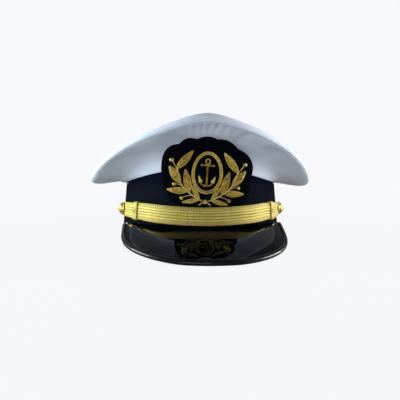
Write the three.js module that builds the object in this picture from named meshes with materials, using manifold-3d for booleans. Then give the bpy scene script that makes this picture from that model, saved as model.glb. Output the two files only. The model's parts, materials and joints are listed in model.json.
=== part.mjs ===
// A peaked captain's cap in millimetres, +Z up, with the peak towards -Y.
//
// Everything is drawn in the cap's own frame: its bottom edge lies in z = 0 and a place round the band is
// a turn in degrees, 0 at the front, 90 at the viewer's right and 180 at the back. At the end the whole cap
// is pitched back onto its peak and the back of its band, as it rests by itself on a table.

import * as THREE from "three";
import { mergeVertices } from "three/addons/utils/BufferGeometryUtils.js";
import Module from "manifold-3d";

const wasm = await Module();
wasm.setup();

// Clearance that neighbouring pieces keep.
const CLEARANCE = 0.3;

// Head opening, size 56 to 57, and the layers of the band.
const HEAD_HALF_WIDTH = 77.6;
const HEAD_HALF_LENGTH = 101;
const FRAME_WALL = 2;
const BRAID_WALL = 1.6;
const BRAID_HEIGHT = 44;
const BAND_LEAN = 3.5; // drawn in at the braid's upper edge

// White cloth of the crown.
const CLOTH_WALL = 1.5;
const HEM_RISE = 13; // the hem's front above the braid
const HEM_LAP = 9; // the frame's hidden stretch behind the hem
const CROWN_HALF_WIDTH = 115;
const CROWN_FRONT_REACH = 124;
const CROWN_REAR_REACH = 128;
const RIM_RADIUS = 5.5;
const RIM_FRONT_HEIGHT = 98.2; // heights of the middle of the rolled rim
const RIM_SIDE_HEIGHT = 48;
const RIM_REAR_HEIGHT = 62;
const RIGHT_WING_DROOP = 2.5;
const SEAM_ANGLE = -25; // place of the seam on the roll, in degrees from its outermost line

// Peak and its rolled binding.
const PEAK_WALL = 1.8;
const PEAK_HALF_WIDTH = 77.2;
const PEAK_REACH = 52; // beyond the band at the front
const PEAK_DROP = 25.9; // of its tip under its root
const PEAK_CAMBER = 1.6;
const PEAK_RIGHT_DROOP = 1.6;
const BINDING_LAP = 3; // how far the binding grips the peak
const BINDING_WALL = 1.1;

// Gold lace chin strap, its slides and its buttons.
const STRAP_WIDTH = 16;
const STRAP_END_WIDTH = 14;
const STRAP_WALL = 1.4;
const STRAP_CORDS = 5;
const STRAP_CORD_DEPTH = 0.4;
const STRAP_HEIGHT = 18; // of its middle line at the sides
const STRAP_DIP = 4.2; // lower at the front
const STRAP_TAPER = [35, 70]; // turns between which it narrows
const STRAP_PAD_SHARE = 0.8; // of the pad's half width that lies behind the strap
const STRAP_PAD_END = [28, 46]; // turns between which it comes back to the band beside the pad
const STRAP_ROUNDING = 5; // degrees in which a button end is rounded off
const STRAP_TIP_SHARE = 0.55; // of its width left at that end
const SLIDE_TURN = 50.5;
const SLIDE_LENGTH = 7;
const SLIDE_WALL = 0.8;
const SLIDE_LAP = 5; // degrees of strap beyond a slide
const BUTTON_TURN = 76;
const BUTTON_LAP = 4.5; // degrees of strap beyond a button
const BUTTON_RADIUS = 6.6;
const BUTTON_HEIGHT = 6;
const SHANK_RADIUS = 1.8;
const BORE_LENGTH = 30;

// Badge: felt pad, embroidered sprays, oval ring and anchor.
const PAD_HALF_WIDTH = 40;
const PAD_FOOT = 17;
const PAD_HEIGHT = 68;
const PAD_WALL = 2.6;
const PAD_EDGE_WALL = 1.5;
const BADGE_TURN = -4; // the embroidery sits a little turned, in degrees
const OVAL_HALF_WIDTH = 12.4; // to the middle of the wire
const OVAL_HALF_HEIGHT = 17.2;
const OVAL_WIRE = 2.6;
const OVAL_HEIGHT = 52.7;
const SPRAY_RELIEF = 1.6;
const STEM_WIDTH = 1.3;
const BERRY_RADIUS = 1.6;
const ANCHOR_HEIGHT = 24;
const ANCHOR_WIDTH = 15;
const ANCHOR_BAR = 1.9;
const ANCHOR_EYE = 2; // radius of its ring

// How finely the cap is cut into facets.
const CROWN_STEPS = 54;
const PEAK_STEPS = 34;
const STRAP_STEP = 5; // degrees

// Rolled rim: share of the way up from the side to the front, or to the rear.
const RIM_ROWS = [
  { turn: 0, front: 1, rear: 0 },
  { turn: 20, front: 0.81, rear: 0 },
  { turn: 31, front: 0.665, rear: 0 },
  { turn: 43, front: 0.5, rear: 0 },
  { turn: 58, front: 0.27, rear: 0 },
  { turn: 70, front: 0.1, rear: 0 },
  { turn: 90, front: 0, rear: 0 },
  { turn: 120, front: 0, rear: 0.16 },
  { turn: 150, front: 0, rear: 0.68 },
  { turn: 180, front: 0, rear: 1 },
];

// Side panel: slope in degrees where it leaves the band, how full it is there and under the seam, as shares
// of the straight way from hem to seam.
const PANEL_ROWS = [
  { turn: 0, slope: 92, hemFullness: 0.8, seamFullness: 0.1 },
  { turn: 35, slope: 84, hemFullness: 0.7, seamFullness: 0.1 },
  { turn: 60, slope: 55, hemFullness: 0.5, seamFullness: 0.14 },
  { turn: 80, slope: 26, hemFullness: 0.45, seamFullness: 0.18 },
  { turn: 100, slope: 22, hemFullness: 0.45, seamFullness: 0.18 },
  { turn: 140, slope: 40, hemFullness: 0.45, seamFullness: 0.16 },
  { turn: 180, slope: 55, hemFullness: 0.45, seamFullness: 0.14 },
];

// Broad folds of the side panel: middle and half width in degrees, height as a share of the cloth.
const FOLD_ROWS = [
  { turn: -50, spread: 9, height: -0.9 },
  { turn: -27, spread: 8, height: 0.6 },
  { turn: 31, spread: 8, height: 0.9 },
  { turn: 52, spread: 9, height: -0.5 },
];

// Peak's edge: where round the band each rib starts, then shares of the half width, of the reach from the
// cap's middle and of the drop.
const PEAK_ROWS = [
  { turn: 0, side: 0, forward: 1, drop: 1 },
  { turn: 10, side: 0.31, forward: 0.973, drop: 0.985 },
  { turn: 21, side: 0.585, forward: 0.895, drop: 0.893 },
  { turn: 32, side: 0.795, forward: 0.78, drop: 0.765 },
  { turn: 42, side: 0.925, forward: 0.645, drop: 0.635 },
  { turn: 51, side: 0.985, forward: 0.51, drop: 0.475 },
  { turn: 59, side: 1, forward: 0.39, drop: 0.29 },
  { turn: 66, side: 1.005, forward: 0.29, drop: 0.1 },
];

// Scallops of the pad from the foot's middle round its right side to the top, and back down its left:
// notches as shares of the half width and of the height, with the bulge of the arc that follows.
const SCALLOP_ROWS = [
  { side: 0, up: 0, bulge: 0.02 },
  { side: 0.8, up: 0.1, bulge: 0.12 },
  { side: 0.96, up: 0.43, bulge: 0.25 },
  { side: 0.68, up: 0.825, bulge: 0.13 },
  { side: 0.22, up: 0.955, bulge: 0.13 },
  { side: -0.22, up: 0.955, bulge: 0.17 },
  { side: -0.62, up: 0.89, bulge: 0.2 },
  { side: -0.985, up: 0.7, bulge: 0.06 },
  { side: -0.92, up: 0.3, bulge: 0.13 },
  { side: -0.6, up: 0.1, bulge: 0.02 },
];

// Right spray, in shares of the pad's half width and height: each leaf from its foot to its tip.
const STEM_ROWS = [
  { side: 0.055, up: 0.16 },
  { side: 0.17, up: 0.185 },
  { side: 0.34, up: 0.25 },
  { side: 0.5, up: 0.33 },
  { side: 0.6, up: 0.43 },
  { side: 0.68, up: 0.57 },
];
const LEAF_ROWS = [
  { footSide: 0.68, footUp: 0.56, tipSide: 0.355, tipUp: 0.795, width: 0.15 },
  { footSide: 0.57, footUp: 0.38, tipSide: 0.815, tipUp: 0.59, width: 0.15 },
  { footSide: 0.35, footUp: 0.255, tipSide: 0.49, tipUp: 0.555, width: 0.15 },
  { footSide: 0.4, footUp: 0.275, tipSide: 0.82, tipUp: 0.29, width: 0.13 },
  { footSide: 0.13, footUp: 0.175, tipSide: 0.31, tipUp: 0.35, width: 0.085 },
  { footSide: 0.14, footUp: 0.17, tipSide: 0.48, tipUp: 0.13, width: 0.085 },
];
const BERRY_ROWS = [
  { footSide: 0.68, footUp: 0.56, side: 0.785, up: 0.675 },
  { footSide: 0.53, footUp: 0.345, side: 0.69, up: 0.37 },
  { footSide: 0.29, footUp: 0.225, side: 0.5, up: 0.19 },
];

// Anchor's bars, through points given as shares of its width and height from the oval's middle. A bar goes
// from one share of the plain bar's width to another.
const ANCHOR_ROWS = [
  { sides: [1], points: [[0, 0.345], [0, -0.5]], start: 1, end: 1, steps: 2 },
  { sides: [1], points: [[-0.36, 0.28], [0.36, 0.28]], start: 0.8, end: 0.8, steps: 2 },
  { sides: [-1, 1], points: [[0, -0.48], [0.3, -0.415], [0.48, -0.21]], start: 1, end: 0.7, steps: 6 },
  { sides: [-1, 1], points: [[0.36, -0.33], [0.5, -0.125]], start: 2.1, end: 0.3, steps: 2 },
];

// Button's dome with its small knob, in shares of its radius and height.
const BUTTON_ROWS = [
  { radius: 0.9, height: 0 },
  { radius: 1, height: 0.12 },
  { radius: 0.93, height: 0.32 },
  { radius: 0.72, height: 0.58 },
  { radius: 0.4, height: 0.76 },
  { radius: 0.22, height: 0.82 },
  { radius: 0.15, height: 0.97 },
  { radius: 0, height: 1 },
];

// Colours and finishes.
const finish = (color, roughness, metalness = 0) =>
  new THREE.MeshStandardMaterial({ color, roughness, metalness });
const WHITE_CLOTH = finish(0xdde3ea, 0.85);
const NAVY_CLOTH = finish(0x141b2b, 0.9);
const NAVY_BRAID = finish(0x12161f, 0.8);
const PATENT = finish(0x08090b, 0.12);
const GOLD_LACE = finish(0xbfa94e, 0.5, 0.6);
const GILT = finish(0xc09a45, 0.3, 1);
const BLACK_FELT = finish(0x07080b, 0.95);
const BULLION = finish(0xa88a3c, 0.45, 0.8);

// Radial places of the layers, measured out from the head opening.
const BRAID_INSIDE = FRAME_WALL + CLEARANCE;
const BRAID_OUTSIDE = BRAID_INSIDE + BRAID_WALL;
const HEM_OUTSIDE = BRAID_INSIDE + CLOTH_WALL;

const radians = THREE.MathUtils.degToRad;
const lerp = THREE.MathUtils.lerp;
const ease = THREE.MathUtils.smoothstep;

// Smooth value of one column of a table whose rows run along a turn from the front.
function column(rows, name, turn) {
  const place = Math.min(Math.abs(turn), rows.at(-1).turn);
  const next = Math.max(1, rows.findIndex((row) => row.turn >= place));
  const [a, b] = [rows[next - 1], rows[next]];
  const before = rows[next - 2] ?? { ...b, turn: 2 * a.turn - b.turn };
  const after = rows[next + 1] ?? { ...a, turn: 2 * b.turn - a.turn };
  const run = b.turn - a.turn;
  const startSlope = ((b[name] - before[name]) / (b.turn - before.turn)) * run;
  const endSlope = ((after[name] - a[name]) / (after.turn - a.turn)) * run;
  const t = (place - a.turn) / run;
  const [t2, t3] = [t * t, t * t * t];
  return (2 * t3 - 3 * t2 + 1) * a[name] + (t3 - 2 * t2 + t) * startSlope
    + (3 * t2 - 2 * t3) * b[name] + (t3 - t2) * endSlope;
}

// Closed body with merged corners, no empty triangles and its faces pointing out.
function closedBody(geometry) {
  geometry.deleteAttribute("normal");
  geometry.deleteAttribute("uv");
  const merged = mergeVertices(geometry, 1e-4);
  const corner = merged.index.array;
  const kept = [];
  for (let i = 0; i < corner.length; i += 3) {
    const [a, b, c] = [corner[i], corner[i + 1], corner[i + 2]];
    if (a !== b && b !== c && c !== a) kept.push(a, b, c);
  }
  const point = (i) => new THREE.Vector3().fromBufferAttribute(merged.attributes.position, i);
  let volume = 0;
  for (let i = 0; i < kept.length; i += 3) {
    volume += point(kept[i]).dot(point(kept[i + 1]).cross(point(kept[i + 2])));
  }
  merged.setIndex(volume < 0 ? kept.reverse() : kept);
  return merged;
}

// Triangles that close an outline which lies about in one plane.
function capTriangles(outline) {
  const normal = new THREE.Vector3();
  outline.forEach((point, i) => normal.add(point.clone().cross(outline[(i + 1) % outline.length])));
  normal.normalize();
  const along = outline[1].clone().sub(outline[0]).normalize();
  const across = normal.clone().cross(along);
  const flat = outline.map((point) => new THREE.Vector2(point.dot(along), point.dot(across)));
  return THREE.ShapeUtils.triangulateShape(flat, []);
}

// Body through a row of sections with as many corners each: a ring if closed, else capped at both ends.
function loft(sections, closed = false) {
  const count = sections[0].length;
  const points = sections.flat();
  const index = [];
  const spans = closed ? sections.length : sections.length - 1;
  for (let i = 0; i < spans; i++) {
    const here = i * count;
    const next = ((i + 1) % sections.length) * count;
    for (let j = 0; j < count; j++) {
      const k = (j + 1) % count;
      index.push(here + j, next + j, next + k, here + j, next + k, here + k);
    }
  }
  if (!closed) {
    const end = (sections.length - 1) * count;
    for (const [a, b, c] of capTriangles(sections[0])) index.push(a, b, c);
    for (const [a, b, c] of capTriangles(sections.at(-1))) index.push(end + a, end + c, end + b);
  }
  const geometry = new THREE.BufferGeometry().setFromPoints(points);
  geometry.setIndex(index);
  return closedBody(geometry);
}

const toSolid = (geometry) => new wasm.Manifold(new wasm.Mesh({
  numProp: 3,
  vertProperties: geometry.attributes.position.array,
  triVerts: Uint32Array.from(geometry.index.array),
}));

function fromSolid(solid) {
  const { vertProperties, triVerts } = solid.getMesh();
  const geometry = new THREE.BufferGeometry();
  geometry.setAttribute("position", new THREE.BufferAttribute(Float32Array.from(vertProperties), 3));
  geometry.setIndex(Array.from(triVerts));
  return geometry;
}

const joined = (bodies) => fromSolid(bodies.map(toSolid).reduce((sum, solid) => sum.add(solid)));

function cutBy(body, tools) {
  return fromSolid(tools.map(toSolid).reduce((rest, tool) => rest.subtract(tool), toSolid(body)));
}

// Turns that divide the whole cap evenly.
const roundTurns = Array.from({ length: CROWN_STEPS }, (_, i) => -180 + (360 * i) / CROWN_STEPS);

function bandPoint(turn, out, height) {
  const inset = (BAND_LEAN * height) / BRAID_HEIGHT;
  return new THREE.Vector3(
    (HEAD_HALF_WIDTH + out - inset) * Math.sin(radians(turn)),
    -(HEAD_HALF_LENGTH + out - inset) * Math.cos(radians(turn)),
    height,
  );
}

// The hem falls away from the front more slowly on the left than on the right.
function hemHeight(turn) {
  const front = Math.max(0, Math.cos(radians(turn)));
  return BRAID_HEIGHT + CLEARANCE + HEM_RISE * front ** (turn < 0 ? 2 : 3.5);
}

function capFrame() {
  return loft(roundTurns.map((turn) => {
    const top = hemHeight(turn) + HEM_LAP;
    return [
      bandPoint(turn, 0, 0),
      bandPoint(turn, FRAME_WALL, 0),
      bandPoint(turn, FRAME_WALL, BRAID_HEIGHT),
      bandPoint(turn, FRAME_WALL, top),
      bandPoint(turn, 0, top),
    ];
  }), true);
}

function ribbedBand() {
  return loft(roundTurns.map((turn) => [
    bandPoint(turn, BRAID_INSIDE, 0),
    bandPoint(turn, BRAID_OUTSIDE, 0),
    bandPoint(turn, BRAID_OUTSIDE, BRAID_HEIGHT),
    bandPoint(turn, BRAID_INSIDE, BRAID_HEIGHT),
  ]), true);
}

// Height of the rim's middle line, with the right wing a little lower.
function rimHeight(turn) {
  const rise = (RIM_FRONT_HEIGHT - RIM_SIDE_HEIGHT) * column(RIM_ROWS, "front", turn);
  const rear = (RIM_REAR_HEIGHT - RIM_SIDE_HEIGHT) * column(RIM_ROWS, "rear", turn);
  const droop = RIGHT_WING_DROOP * Math.max(0, Math.sin(radians(turn))) ** 4;
  return RIM_SIDE_HEIGHT + rise + rear - droop;
}

function rimMiddle(turn) {
  const reach = (CROWN_FRONT_REACH + CROWN_REAR_REACH) / 2 - RIM_RADIUS;
  const middle = (CROWN_REAR_REACH - CROWN_FRONT_REACH) / 2;
  return new THREE.Vector3(
    (CROWN_HALF_WIDTH - RIM_RADIUS) * Math.sin(radians(turn)),
    middle - reach * Math.cos(radians(turn)),
    rimHeight(turn),
  );
}

// Upright plane in which the crown is drawn at a turn: its foot on the hem and its level direction.
function crownPlane(turn) {
  const foot = bandPoint(turn, HEM_OUTSIDE, hemHeight(turn));
  const out = rimMiddle(turn).sub(foot).setZ(0).normalize();
  return (u, z) => foot.clone().setZ(z).addScaledVector(out, u);
}

// Rim's middle, a roll's point, a fold's height and the side panel's points are all given in that plane.
function rimPlace(turn) {
  const foot = bandPoint(turn, HEM_OUTSIDE, hemHeight(turn));
  const middle = rimMiddle(turn);
  return new THREE.Vector2(Math.hypot(middle.x - foot.x, middle.y - foot.y), middle.z);
}

function rollPoint(turn, angle, depth = 0) {
  const radius = RIM_RADIUS - depth;
  const turned = new THREE.Vector2(Math.cos(angle), Math.sin(angle)).multiplyScalar(radius);
  return rimPlace(turn).add(turned);
}

function foldHeight(turn, share) {
  const height = FOLD_ROWS.reduce(
    (sum, fold) => sum + fold.height * Math.exp(-(((turn - fold.turn) / fold.spread) ** 2)), 0);
  return CLOTH_WALL * height * Math.sin(Math.PI * share) ** 2;
}

// Point of the side panel's outer face, or under it by a depth.
function panelPoint(turn, share, depth = 0) {
  const seamAngle = radians(SEAM_ANGLE);
  const hem = new THREE.Vector2(0, hemHeight(turn));
  const seam = rollPoint(turn, seamAngle);
  const way = hem.distanceTo(seam);
  const slope = radians(column(PANEL_ROWS, "slope", turn));
  const hemPull = way * column(PANEL_ROWS, "hemFullness", turn);
  const seamPull = way * column(PANEL_ROWS, "seamFullness", turn);
  const curve = new THREE.CubicBezierCurve(
    hem,
    new THREE.Vector2(Math.cos(slope), Math.sin(slope)).multiplyScalar(hemPull).add(hem),
    new THREE.Vector2(Math.sin(seamAngle), -Math.cos(seamAngle)).multiplyScalar(seamPull).add(seam),
    seam,
  );
  const along = curve.getTangent(share);
  const outward = new THREE.Vector2(along.y, -along.x);
  return curve.getPoint(share).addScaledVector(outward, foldHeight(turn, share) - depth);
}

const PANEL_SHARES = [0, 0.22, 0.45, 0.68, 0.87, 1];

function crownSide() {
  return loft(roundTurns.map((turn) => {
    const place = crownPlane(turn);
    const outer = PANEL_SHARES.map((share) => panelPoint(turn, share));
    const inner = PANEL_SHARES.map((share) => panelPoint(turn, share, CLOTH_WALL));
    return [...outer, ...inner.reverse()].map((point) => place(point.x, point.y));
  }), true);
}

// A stretched cloth's height over the middle of the rim follows the rim's cosine and sine waves, each dying
// away towards the middle as its own power of the distance.
const RIM_WAVES = Array.from({ length: 7 }, (_, order) => {
  const weight = (order ? 2 : 1) / CROWN_STEPS;
  const share = (wave) => weight * roundTurns.reduce(
    (sum, turn) => sum + (rimHeight(turn) + RIM_RADIUS) * wave(order * radians(turn)), 0);
  return { order, cosine: share(Math.cos), sine: share(Math.sin) };
});

function topHeight(turn, distance) {
  const angle = radians(turn);
  return RIM_WAVES.reduce((sum, { order, cosine, sine }) => (
    sum + distance ** order * (cosine * Math.cos(order * angle) + sine * Math.sin(order * angle))
  ), 0);
}

const ROLL_SHARES = [0, 0.25, 0.5, 0.75, 1];
const TOP_DISTANCES = [0.87, 0.64, 0.35, 0];

function crownTop() {
  const reach = (CROWN_FRONT_REACH + CROWN_REAR_REACH) / 2;
  const middle = new THREE.Vector3(0, (CROWN_REAR_REACH - CROWN_FRONT_REACH) / 2, 0);
  const start = radians(SEAM_ANGLE) + CLEARANCE / RIM_RADIUS;
  return loft(roundTurns.map((turn) => {
    const place = crownPlane(turn);
    const span = lerp(reach, CROWN_HALF_WIDTH, Math.sin(radians(turn)) ** 2);
    const fall = Math.atan((topHeight(turn, 1) - topHeight(turn, 0.9)) / (0.1 * span));
    const end = Math.PI / 2 + fall;
    const face = (depth) => {
      const roll = ROLL_SHARES.map((share) => rollPoint(turn, lerp(start, end, share), depth));
      const rolled = roll.map((point) => place(point.x, point.y));
      const rim = rolled.at(-1);
      const mend = rim.z + depth - topHeight(turn, 1);
      const level = TOP_DISTANCES.map((distance) => {
        const point = middle.clone().lerp(rim, distance);
        return point.setZ(topHeight(turn, distance) + mend * distance ** 4 - depth);
      });
      return [...rolled, ...level];
    };
    return [...face(0), ...face(CLOTH_WALL).reverse()];
  }), true);
}

// Height at which the strap's lower edge lets the peak leave the band.
const PEAK_ROOT_HEIGHT = STRAP_HEIGHT - STRAP_DIP - STRAP_WIDTH / 2 - CLEARANCE - PEAK_WALL / 2;

const PEAK_SHARES = [0, 0.25, 0.5, 0.75, 1];

const PEAK_END = PEAK_ROWS.at(-1).turn;

// Middle of the peak's wall, from its root at the band to its edge.
function peakPoint(turn, share) {
  const root = bandPoint(turn, BRAID_OUTSIDE + CLEARANCE, PEAK_ROOT_HEIGHT);
  const forward = HEAD_HALF_LENGTH + BRAID_OUTSIDE + PEAK_REACH;
  const droop = PEAK_RIGHT_DROOP * Math.sin((Math.PI * Math.max(0, turn)) / PEAK_END) ** 2;
  const edge = new THREE.Vector3(
    Math.sign(turn) * PEAK_HALF_WIDTH * column(PEAK_ROWS, "side", turn),
    -forward * column(PEAK_ROWS, "forward", turn),
    PEAK_ROOT_HEIGHT - PEAK_DROP * column(PEAK_ROWS, "drop", turn) - droop,
  );
  const width = root.distanceTo(edge);
  const camber = PEAK_CAMBER * Math.min(1, width / PEAK_REACH) * Math.sin(Math.PI * share);
  return root.lerp(edge, share).add(new THREE.Vector3(0, 0, camber));
}

const peakTurns = Array.from({ length: PEAK_STEPS + 1 }, (_, i) => PEAK_END * ((2 * i) / PEAK_STEPS - 1));

// Directions at the peak's edge: along it, out of it in the wall's own slope, and square to the wall.
function peakEdge(turn) {
  const step = 0.5;
  const edge = peakPoint(turn, 1);
  const ahead = peakPoint(Math.min(PEAK_END, turn + step), 1);
  const along = ahead.sub(peakPoint(Math.max(-PEAK_END, turn - step), 1)).normalize();
  const across = edge.clone().sub(peakPoint(turn, 0.9));
  const face = along.clone().cross(across).normalize();
  const out = face.clone().cross(along);
  return { edge, out: out.dot(across) < 0 ? out.negate() : out, face: face.z < 0 ? face.negate() : face };
}

function peak() {
  return loft(peakTurns.map((turn) => {
    const { face } = peakEdge(turn);
    const upright = new THREE.Vector3(0, 0, 1);
    const faces = [1, -1].map((side) => PEAK_SHARES.map((share) => (
      peakPoint(turn, share).addScaledVector(share ? face : upright, (side * PEAK_WALL) / 2))));
    return [...faces[0], ...faces[1].reverse()];
  }));
}

function peakBinding() {
  const slot = PEAK_WALL / 2 + CLEARANCE;
  const rim = slot + BINDING_WALL;
  const nose = CLEARANCE + BINDING_WALL;
  const half = [
    [CLEARANCE, slot], [-BINDING_LAP, slot], [-BINDING_LAP, rim - 0.25 * BINDING_WALL],
    [-BINDING_LAP / 2, rim], [CLEARANCE, 0.85 * rim], [nose, 0.45 * rim],
  ];
  const section = [...half, ...half.map(([out, up]) => [out, -up]).reverse()];
  return loft(peakTurns.map((turn) => {
    const { edge, out, face } = peakEdge(turn);
    return section.map(([u, v]) => edge.clone().addScaledVector(out, u).addScaledVector(face, v));
  }));
}

// Level cut through the outer face of the side panel's front; past the seam it follows the seam.
function panelCut(height) {
  const [widest, steps] = [60, 40];
  return Array.from({ length: steps + 1 }, (_, i) => {
    const turn = widest * ((2 * i) / steps - 1);
    let [low, high] = [0, 1];
    for (let step = 0; step < 24; step++) {
      const middle = (low + high) / 2;
      if (panelPoint(turn, middle).y < height) low = middle;
      else high = middle;
    }
    const point = panelPoint(turn, low);
    return crownPlane(turn)(point.x, point.y);
  });
}

// Cuts that can carry the pad, at heights given as shares of its own.
const padCuts = [0.7, 0.8, 0.9, 1, 1.05].map((share) => panelCut(PAD_FOOT + share * PAD_HEIGHT));

// Place on a cut at a distance across.
function cutPoint(cut, x) {
  const next = Math.max(1, cut.findIndex((point) => point.x >= x));
  const [a, b] = [cut[next - 1], cut[next]];
  return a.clone().lerp(b, (x - a.x) / (b.x - a.x));
}

// The pad starts on the braid at its foot and leans forward until the crown's panel carries it.
function padBack(x, z) {
  const inset = (BAND_LEAN * PAD_FOOT) / BRAID_HEIGHT;
  const across = HEAD_HALF_WIDTH + BRAID_OUTSIDE - inset;
  const deep = HEAD_HALF_LENGTH + BRAID_OUTSIDE - inset;
  const foot = -deep * Math.sqrt(1 - (x / across) ** 2);
  const lean = Math.min(...padCuts.map((cut) => {
    const point = cutPoint(cut, x);
    return (point.y - foot) / (point.z - PAD_FOOT);
  }));
  return new THREE.Vector3(x, foot + lean * (z - PAD_FOOT), z);
}

// Point over the pad, by its place seen from the front and its height off what the pad lies on.
function badgePoint(x, z, height) {
  const step = 0.5;
  const sideways = padBack(x + step, z).sub(padBack(x - step, z));
  const upright = padBack(x, z + step).sub(padBack(x, z - step));
  const outward = sideways.cross(upright).normalize();
  return padBack(x, z).addScaledVector(outward, CLEARANCE + height);
}

const PAD_RINGS = [
  { share: 0.34, face: 1 }, { share: 0.67, face: 1 }, { share: 0.93, face: 1 }, { share: 1, face: 0 },
];

function scallopOutline() {
  const at = (row) => new THREE.Vector2(row.side * PAD_HALF_WIDTH, row.up * PAD_HEIGHT);
  return SCALLOP_ROWS.flatMap((row, i) => {
    const start = at(row);
    const end = at(SCALLOP_ROWS[(i + 1) % SCALLOP_ROWS.length]);
    const way = end.clone().sub(start);
    const out = new THREE.Vector2(way.y, -way.x);
    return [0, 0.25, 0.5, 0.75].map((share) => (
      start.clone().addScaledVector(way, share).addScaledVector(out, row.bulge * 4 * share * (1 - share))
    ));
  });
}

function badgePad() {
  const middle = new THREE.Vector2(0, PAD_HEIGHT / 2);
  return loft(scallopOutline().map((rim) => {
    const place = (share, height) => {
      const flat = middle.clone().lerp(rim, share);
      return badgePoint(flat.x, PAD_FOOT + flat.y, height);
    };
    const back = PAD_RINGS.map(({ share }) => place(share, 0));
    const front = PAD_RINGS.map(({ share, face }) => place(share, face ? PAD_WALL : PAD_EDGE_WALL));
    return [place(0, 0), ...back, ...front.reverse(), place(0, PAD_WALL)];
  }), true);
}

// A body drawn flat, x across, y up from the pad's foot and z off its face, laid on the curved pad.
function laidOnPad(body) {
  const positions = body.attributes.position;
  const middle = new THREE.Vector2(0, OVAL_HEIGHT - PAD_FOOT);
  for (let i = 0; i < positions.count; i++) {
    const off = PAD_WALL + CLEARANCE + positions.getZ(i);
    const flat = new THREE.Vector2(positions.getX(i), positions.getY(i));
    flat.rotateAround(middle, radians(BADGE_TURN));
    const point = badgePoint(flat.x, PAD_FOOT + flat.y, off);
    positions.setXYZ(i, point.x, point.y, point.z);
  }
  return body;
}

// Flat ribbon with a raised middle that follows a row of points; width and relief go by their share along it.
function ribbon(points, width, relief, steps) {
  const curve = new THREE.CatmullRomCurve3(points.map((point) => new THREE.Vector3(point.x, point.y, 0)));
  return loft(Array.from({ length: steps + 1 }, (_, i) => {
    const share = i / steps;
    const middle = curve.getPoint(share);
    const along = curve.getTangent(share);
    const across = new THREE.Vector3(along.y, -along.x, 0);
    const half = width(share) / 2;
    const top = relief(share);
    return [[-1, 0], [-0.6, 0.75], [0, 1], [0.6, 0.75], [1, 0]].map(([u, v]) => (
      middle.clone().addScaledVector(across, u * half).setZ(v * top)
    ));
  }));
}

const onPad = (mirror, side, up) => new THREE.Vector2(mirror * side * PAD_HALF_WIDTH, up * PAD_HEIGHT);

function leaf(mirror, row) {
  const width = row.width * PAD_HALF_WIDTH;
  const swell = (share) => 0.12 + 0.88 * Math.sin(Math.PI * share ** 0.85);
  return ribbon(
    [onPad(mirror, row.footSide, row.footUp), onPad(mirror, row.tipSide, row.tipUp)],
    (share) => width * swell(share),
    (share) => SPRAY_RELIEF * (0.45 + 0.55 * Math.sin(Math.PI * share)),
    5,
  );
}

function spray(mirror) {
  const stemRelief = () => SPRAY_RELIEF * 0.6;
  const stem = ribbon(
    STEM_ROWS.map((row) => onPad(mirror, row.side, row.up)), () => STEM_WIDTH, stemRelief, 8);
  const berries = BERRY_ROWS.flatMap((row) => {
    const place = onPad(mirror, row.side, row.up);
    const ball = new THREE.SphereGeometry(BERRY_RADIUS, 6, 4);
    ball.rotateX(Math.PI / 2);
    ball.translate(place.x, place.y, BERRY_RADIUS);
    const stalk = ribbon(
      [onPad(mirror, row.footSide, row.footUp), place], () => 0.7 * STEM_WIDTH, stemRelief, 2);
    return [closedBody(ball), stalk];
  });
  return laidOnPad(joined([stem, ...LEAF_ROWS.map((row) => leaf(mirror, row)), ...berries]));
}

// Knot over the crossed stems, with two short tails.
function sprayTie() {
  const foot = STEM_ROWS[0];
  const top = foot.up * PAD_HEIGHT + STEM_WIDTH;
  const gap = foot.side * PAD_HALF_WIDTH - 2 * CLEARANCE;
  const tail = (side) => ribbon(
    [new THREE.Vector2(0, top - STEM_WIDTH), new THREE.Vector2(side * 4 * STEM_WIDTH, top - 4 * STEM_WIDTH)],
    () => STEM_WIDTH, () => SPRAY_RELIEF * 0.6, 2);
  const knot = ribbon(
    [new THREE.Vector2(0, top), new THREE.Vector2(0, top - 3 * STEM_WIDTH)],
    () => 2 * gap, () => SPRAY_RELIEF, 3);
  return laidOnPad(joined([knot, tail(1), tail(-1)]));
}

// Ring of wire on an ellipse, drawn flat on the pad.
function flatRing(halfWidth, halfHeight, wire, middleHeight, steps) {
  return loft(Array.from({ length: steps }, (_, i) => {
    const angle = (2 * Math.PI * i) / steps;
    return Array.from({ length: 6 }, (_, j) => {
      const around = (2 * Math.PI * j) / 6;
      const out = (wire / 2) * Math.cos(around);
      return new THREE.Vector3(
        (halfWidth + out) * Math.cos(angle),
        middleHeight + (halfHeight + out) * Math.sin(angle),
        (wire / 2) * (1 + Math.sin(around)),
      );
    });
  }), true);
}

const badgeOval = () => laidOnPad(
  flatRing(OVAL_HALF_WIDTH, OVAL_HALF_HEIGHT, OVAL_WIRE, OVAL_HEIGHT - PAD_FOOT, 32));

// Plain upright anchor: ring, shank, stock and two curved arms that end in flukes.
function badgeAnchor() {
  const middle = OVAL_HEIGHT - PAD_FOOT;
  const eye = flatRing(
    ANCHOR_EYE, ANCHOR_EYE, 0.6 * ANCHOR_BAR, middle + ANCHOR_HEIGHT / 2 - ANCHOR_EYE, 10);
  const bars = ANCHOR_ROWS.flatMap(({ sides, points, start, end, steps }) => sides.map((side) => ribbon(
    points.map(([x, y]) => new THREE.Vector2(side * x * ANCHOR_WIDTH, middle + y * ANCHOR_HEIGHT)),
    (share) => ANCHOR_BAR * lerp(start, end, share), () => SPRAY_RELIEF, steps)));
  return laidOnPad(joined([eye, ...bars]));
}

const strapWidth = (turn) => lerp(STRAP_WIDTH, STRAP_END_WIDTH, ease(Math.abs(turn), ...STRAP_TAPER));

const strapMiddle = (turn) => STRAP_HEIGHT - STRAP_DIP * Math.max(0, Math.cos(radians(turn))) ** 5;

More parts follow.
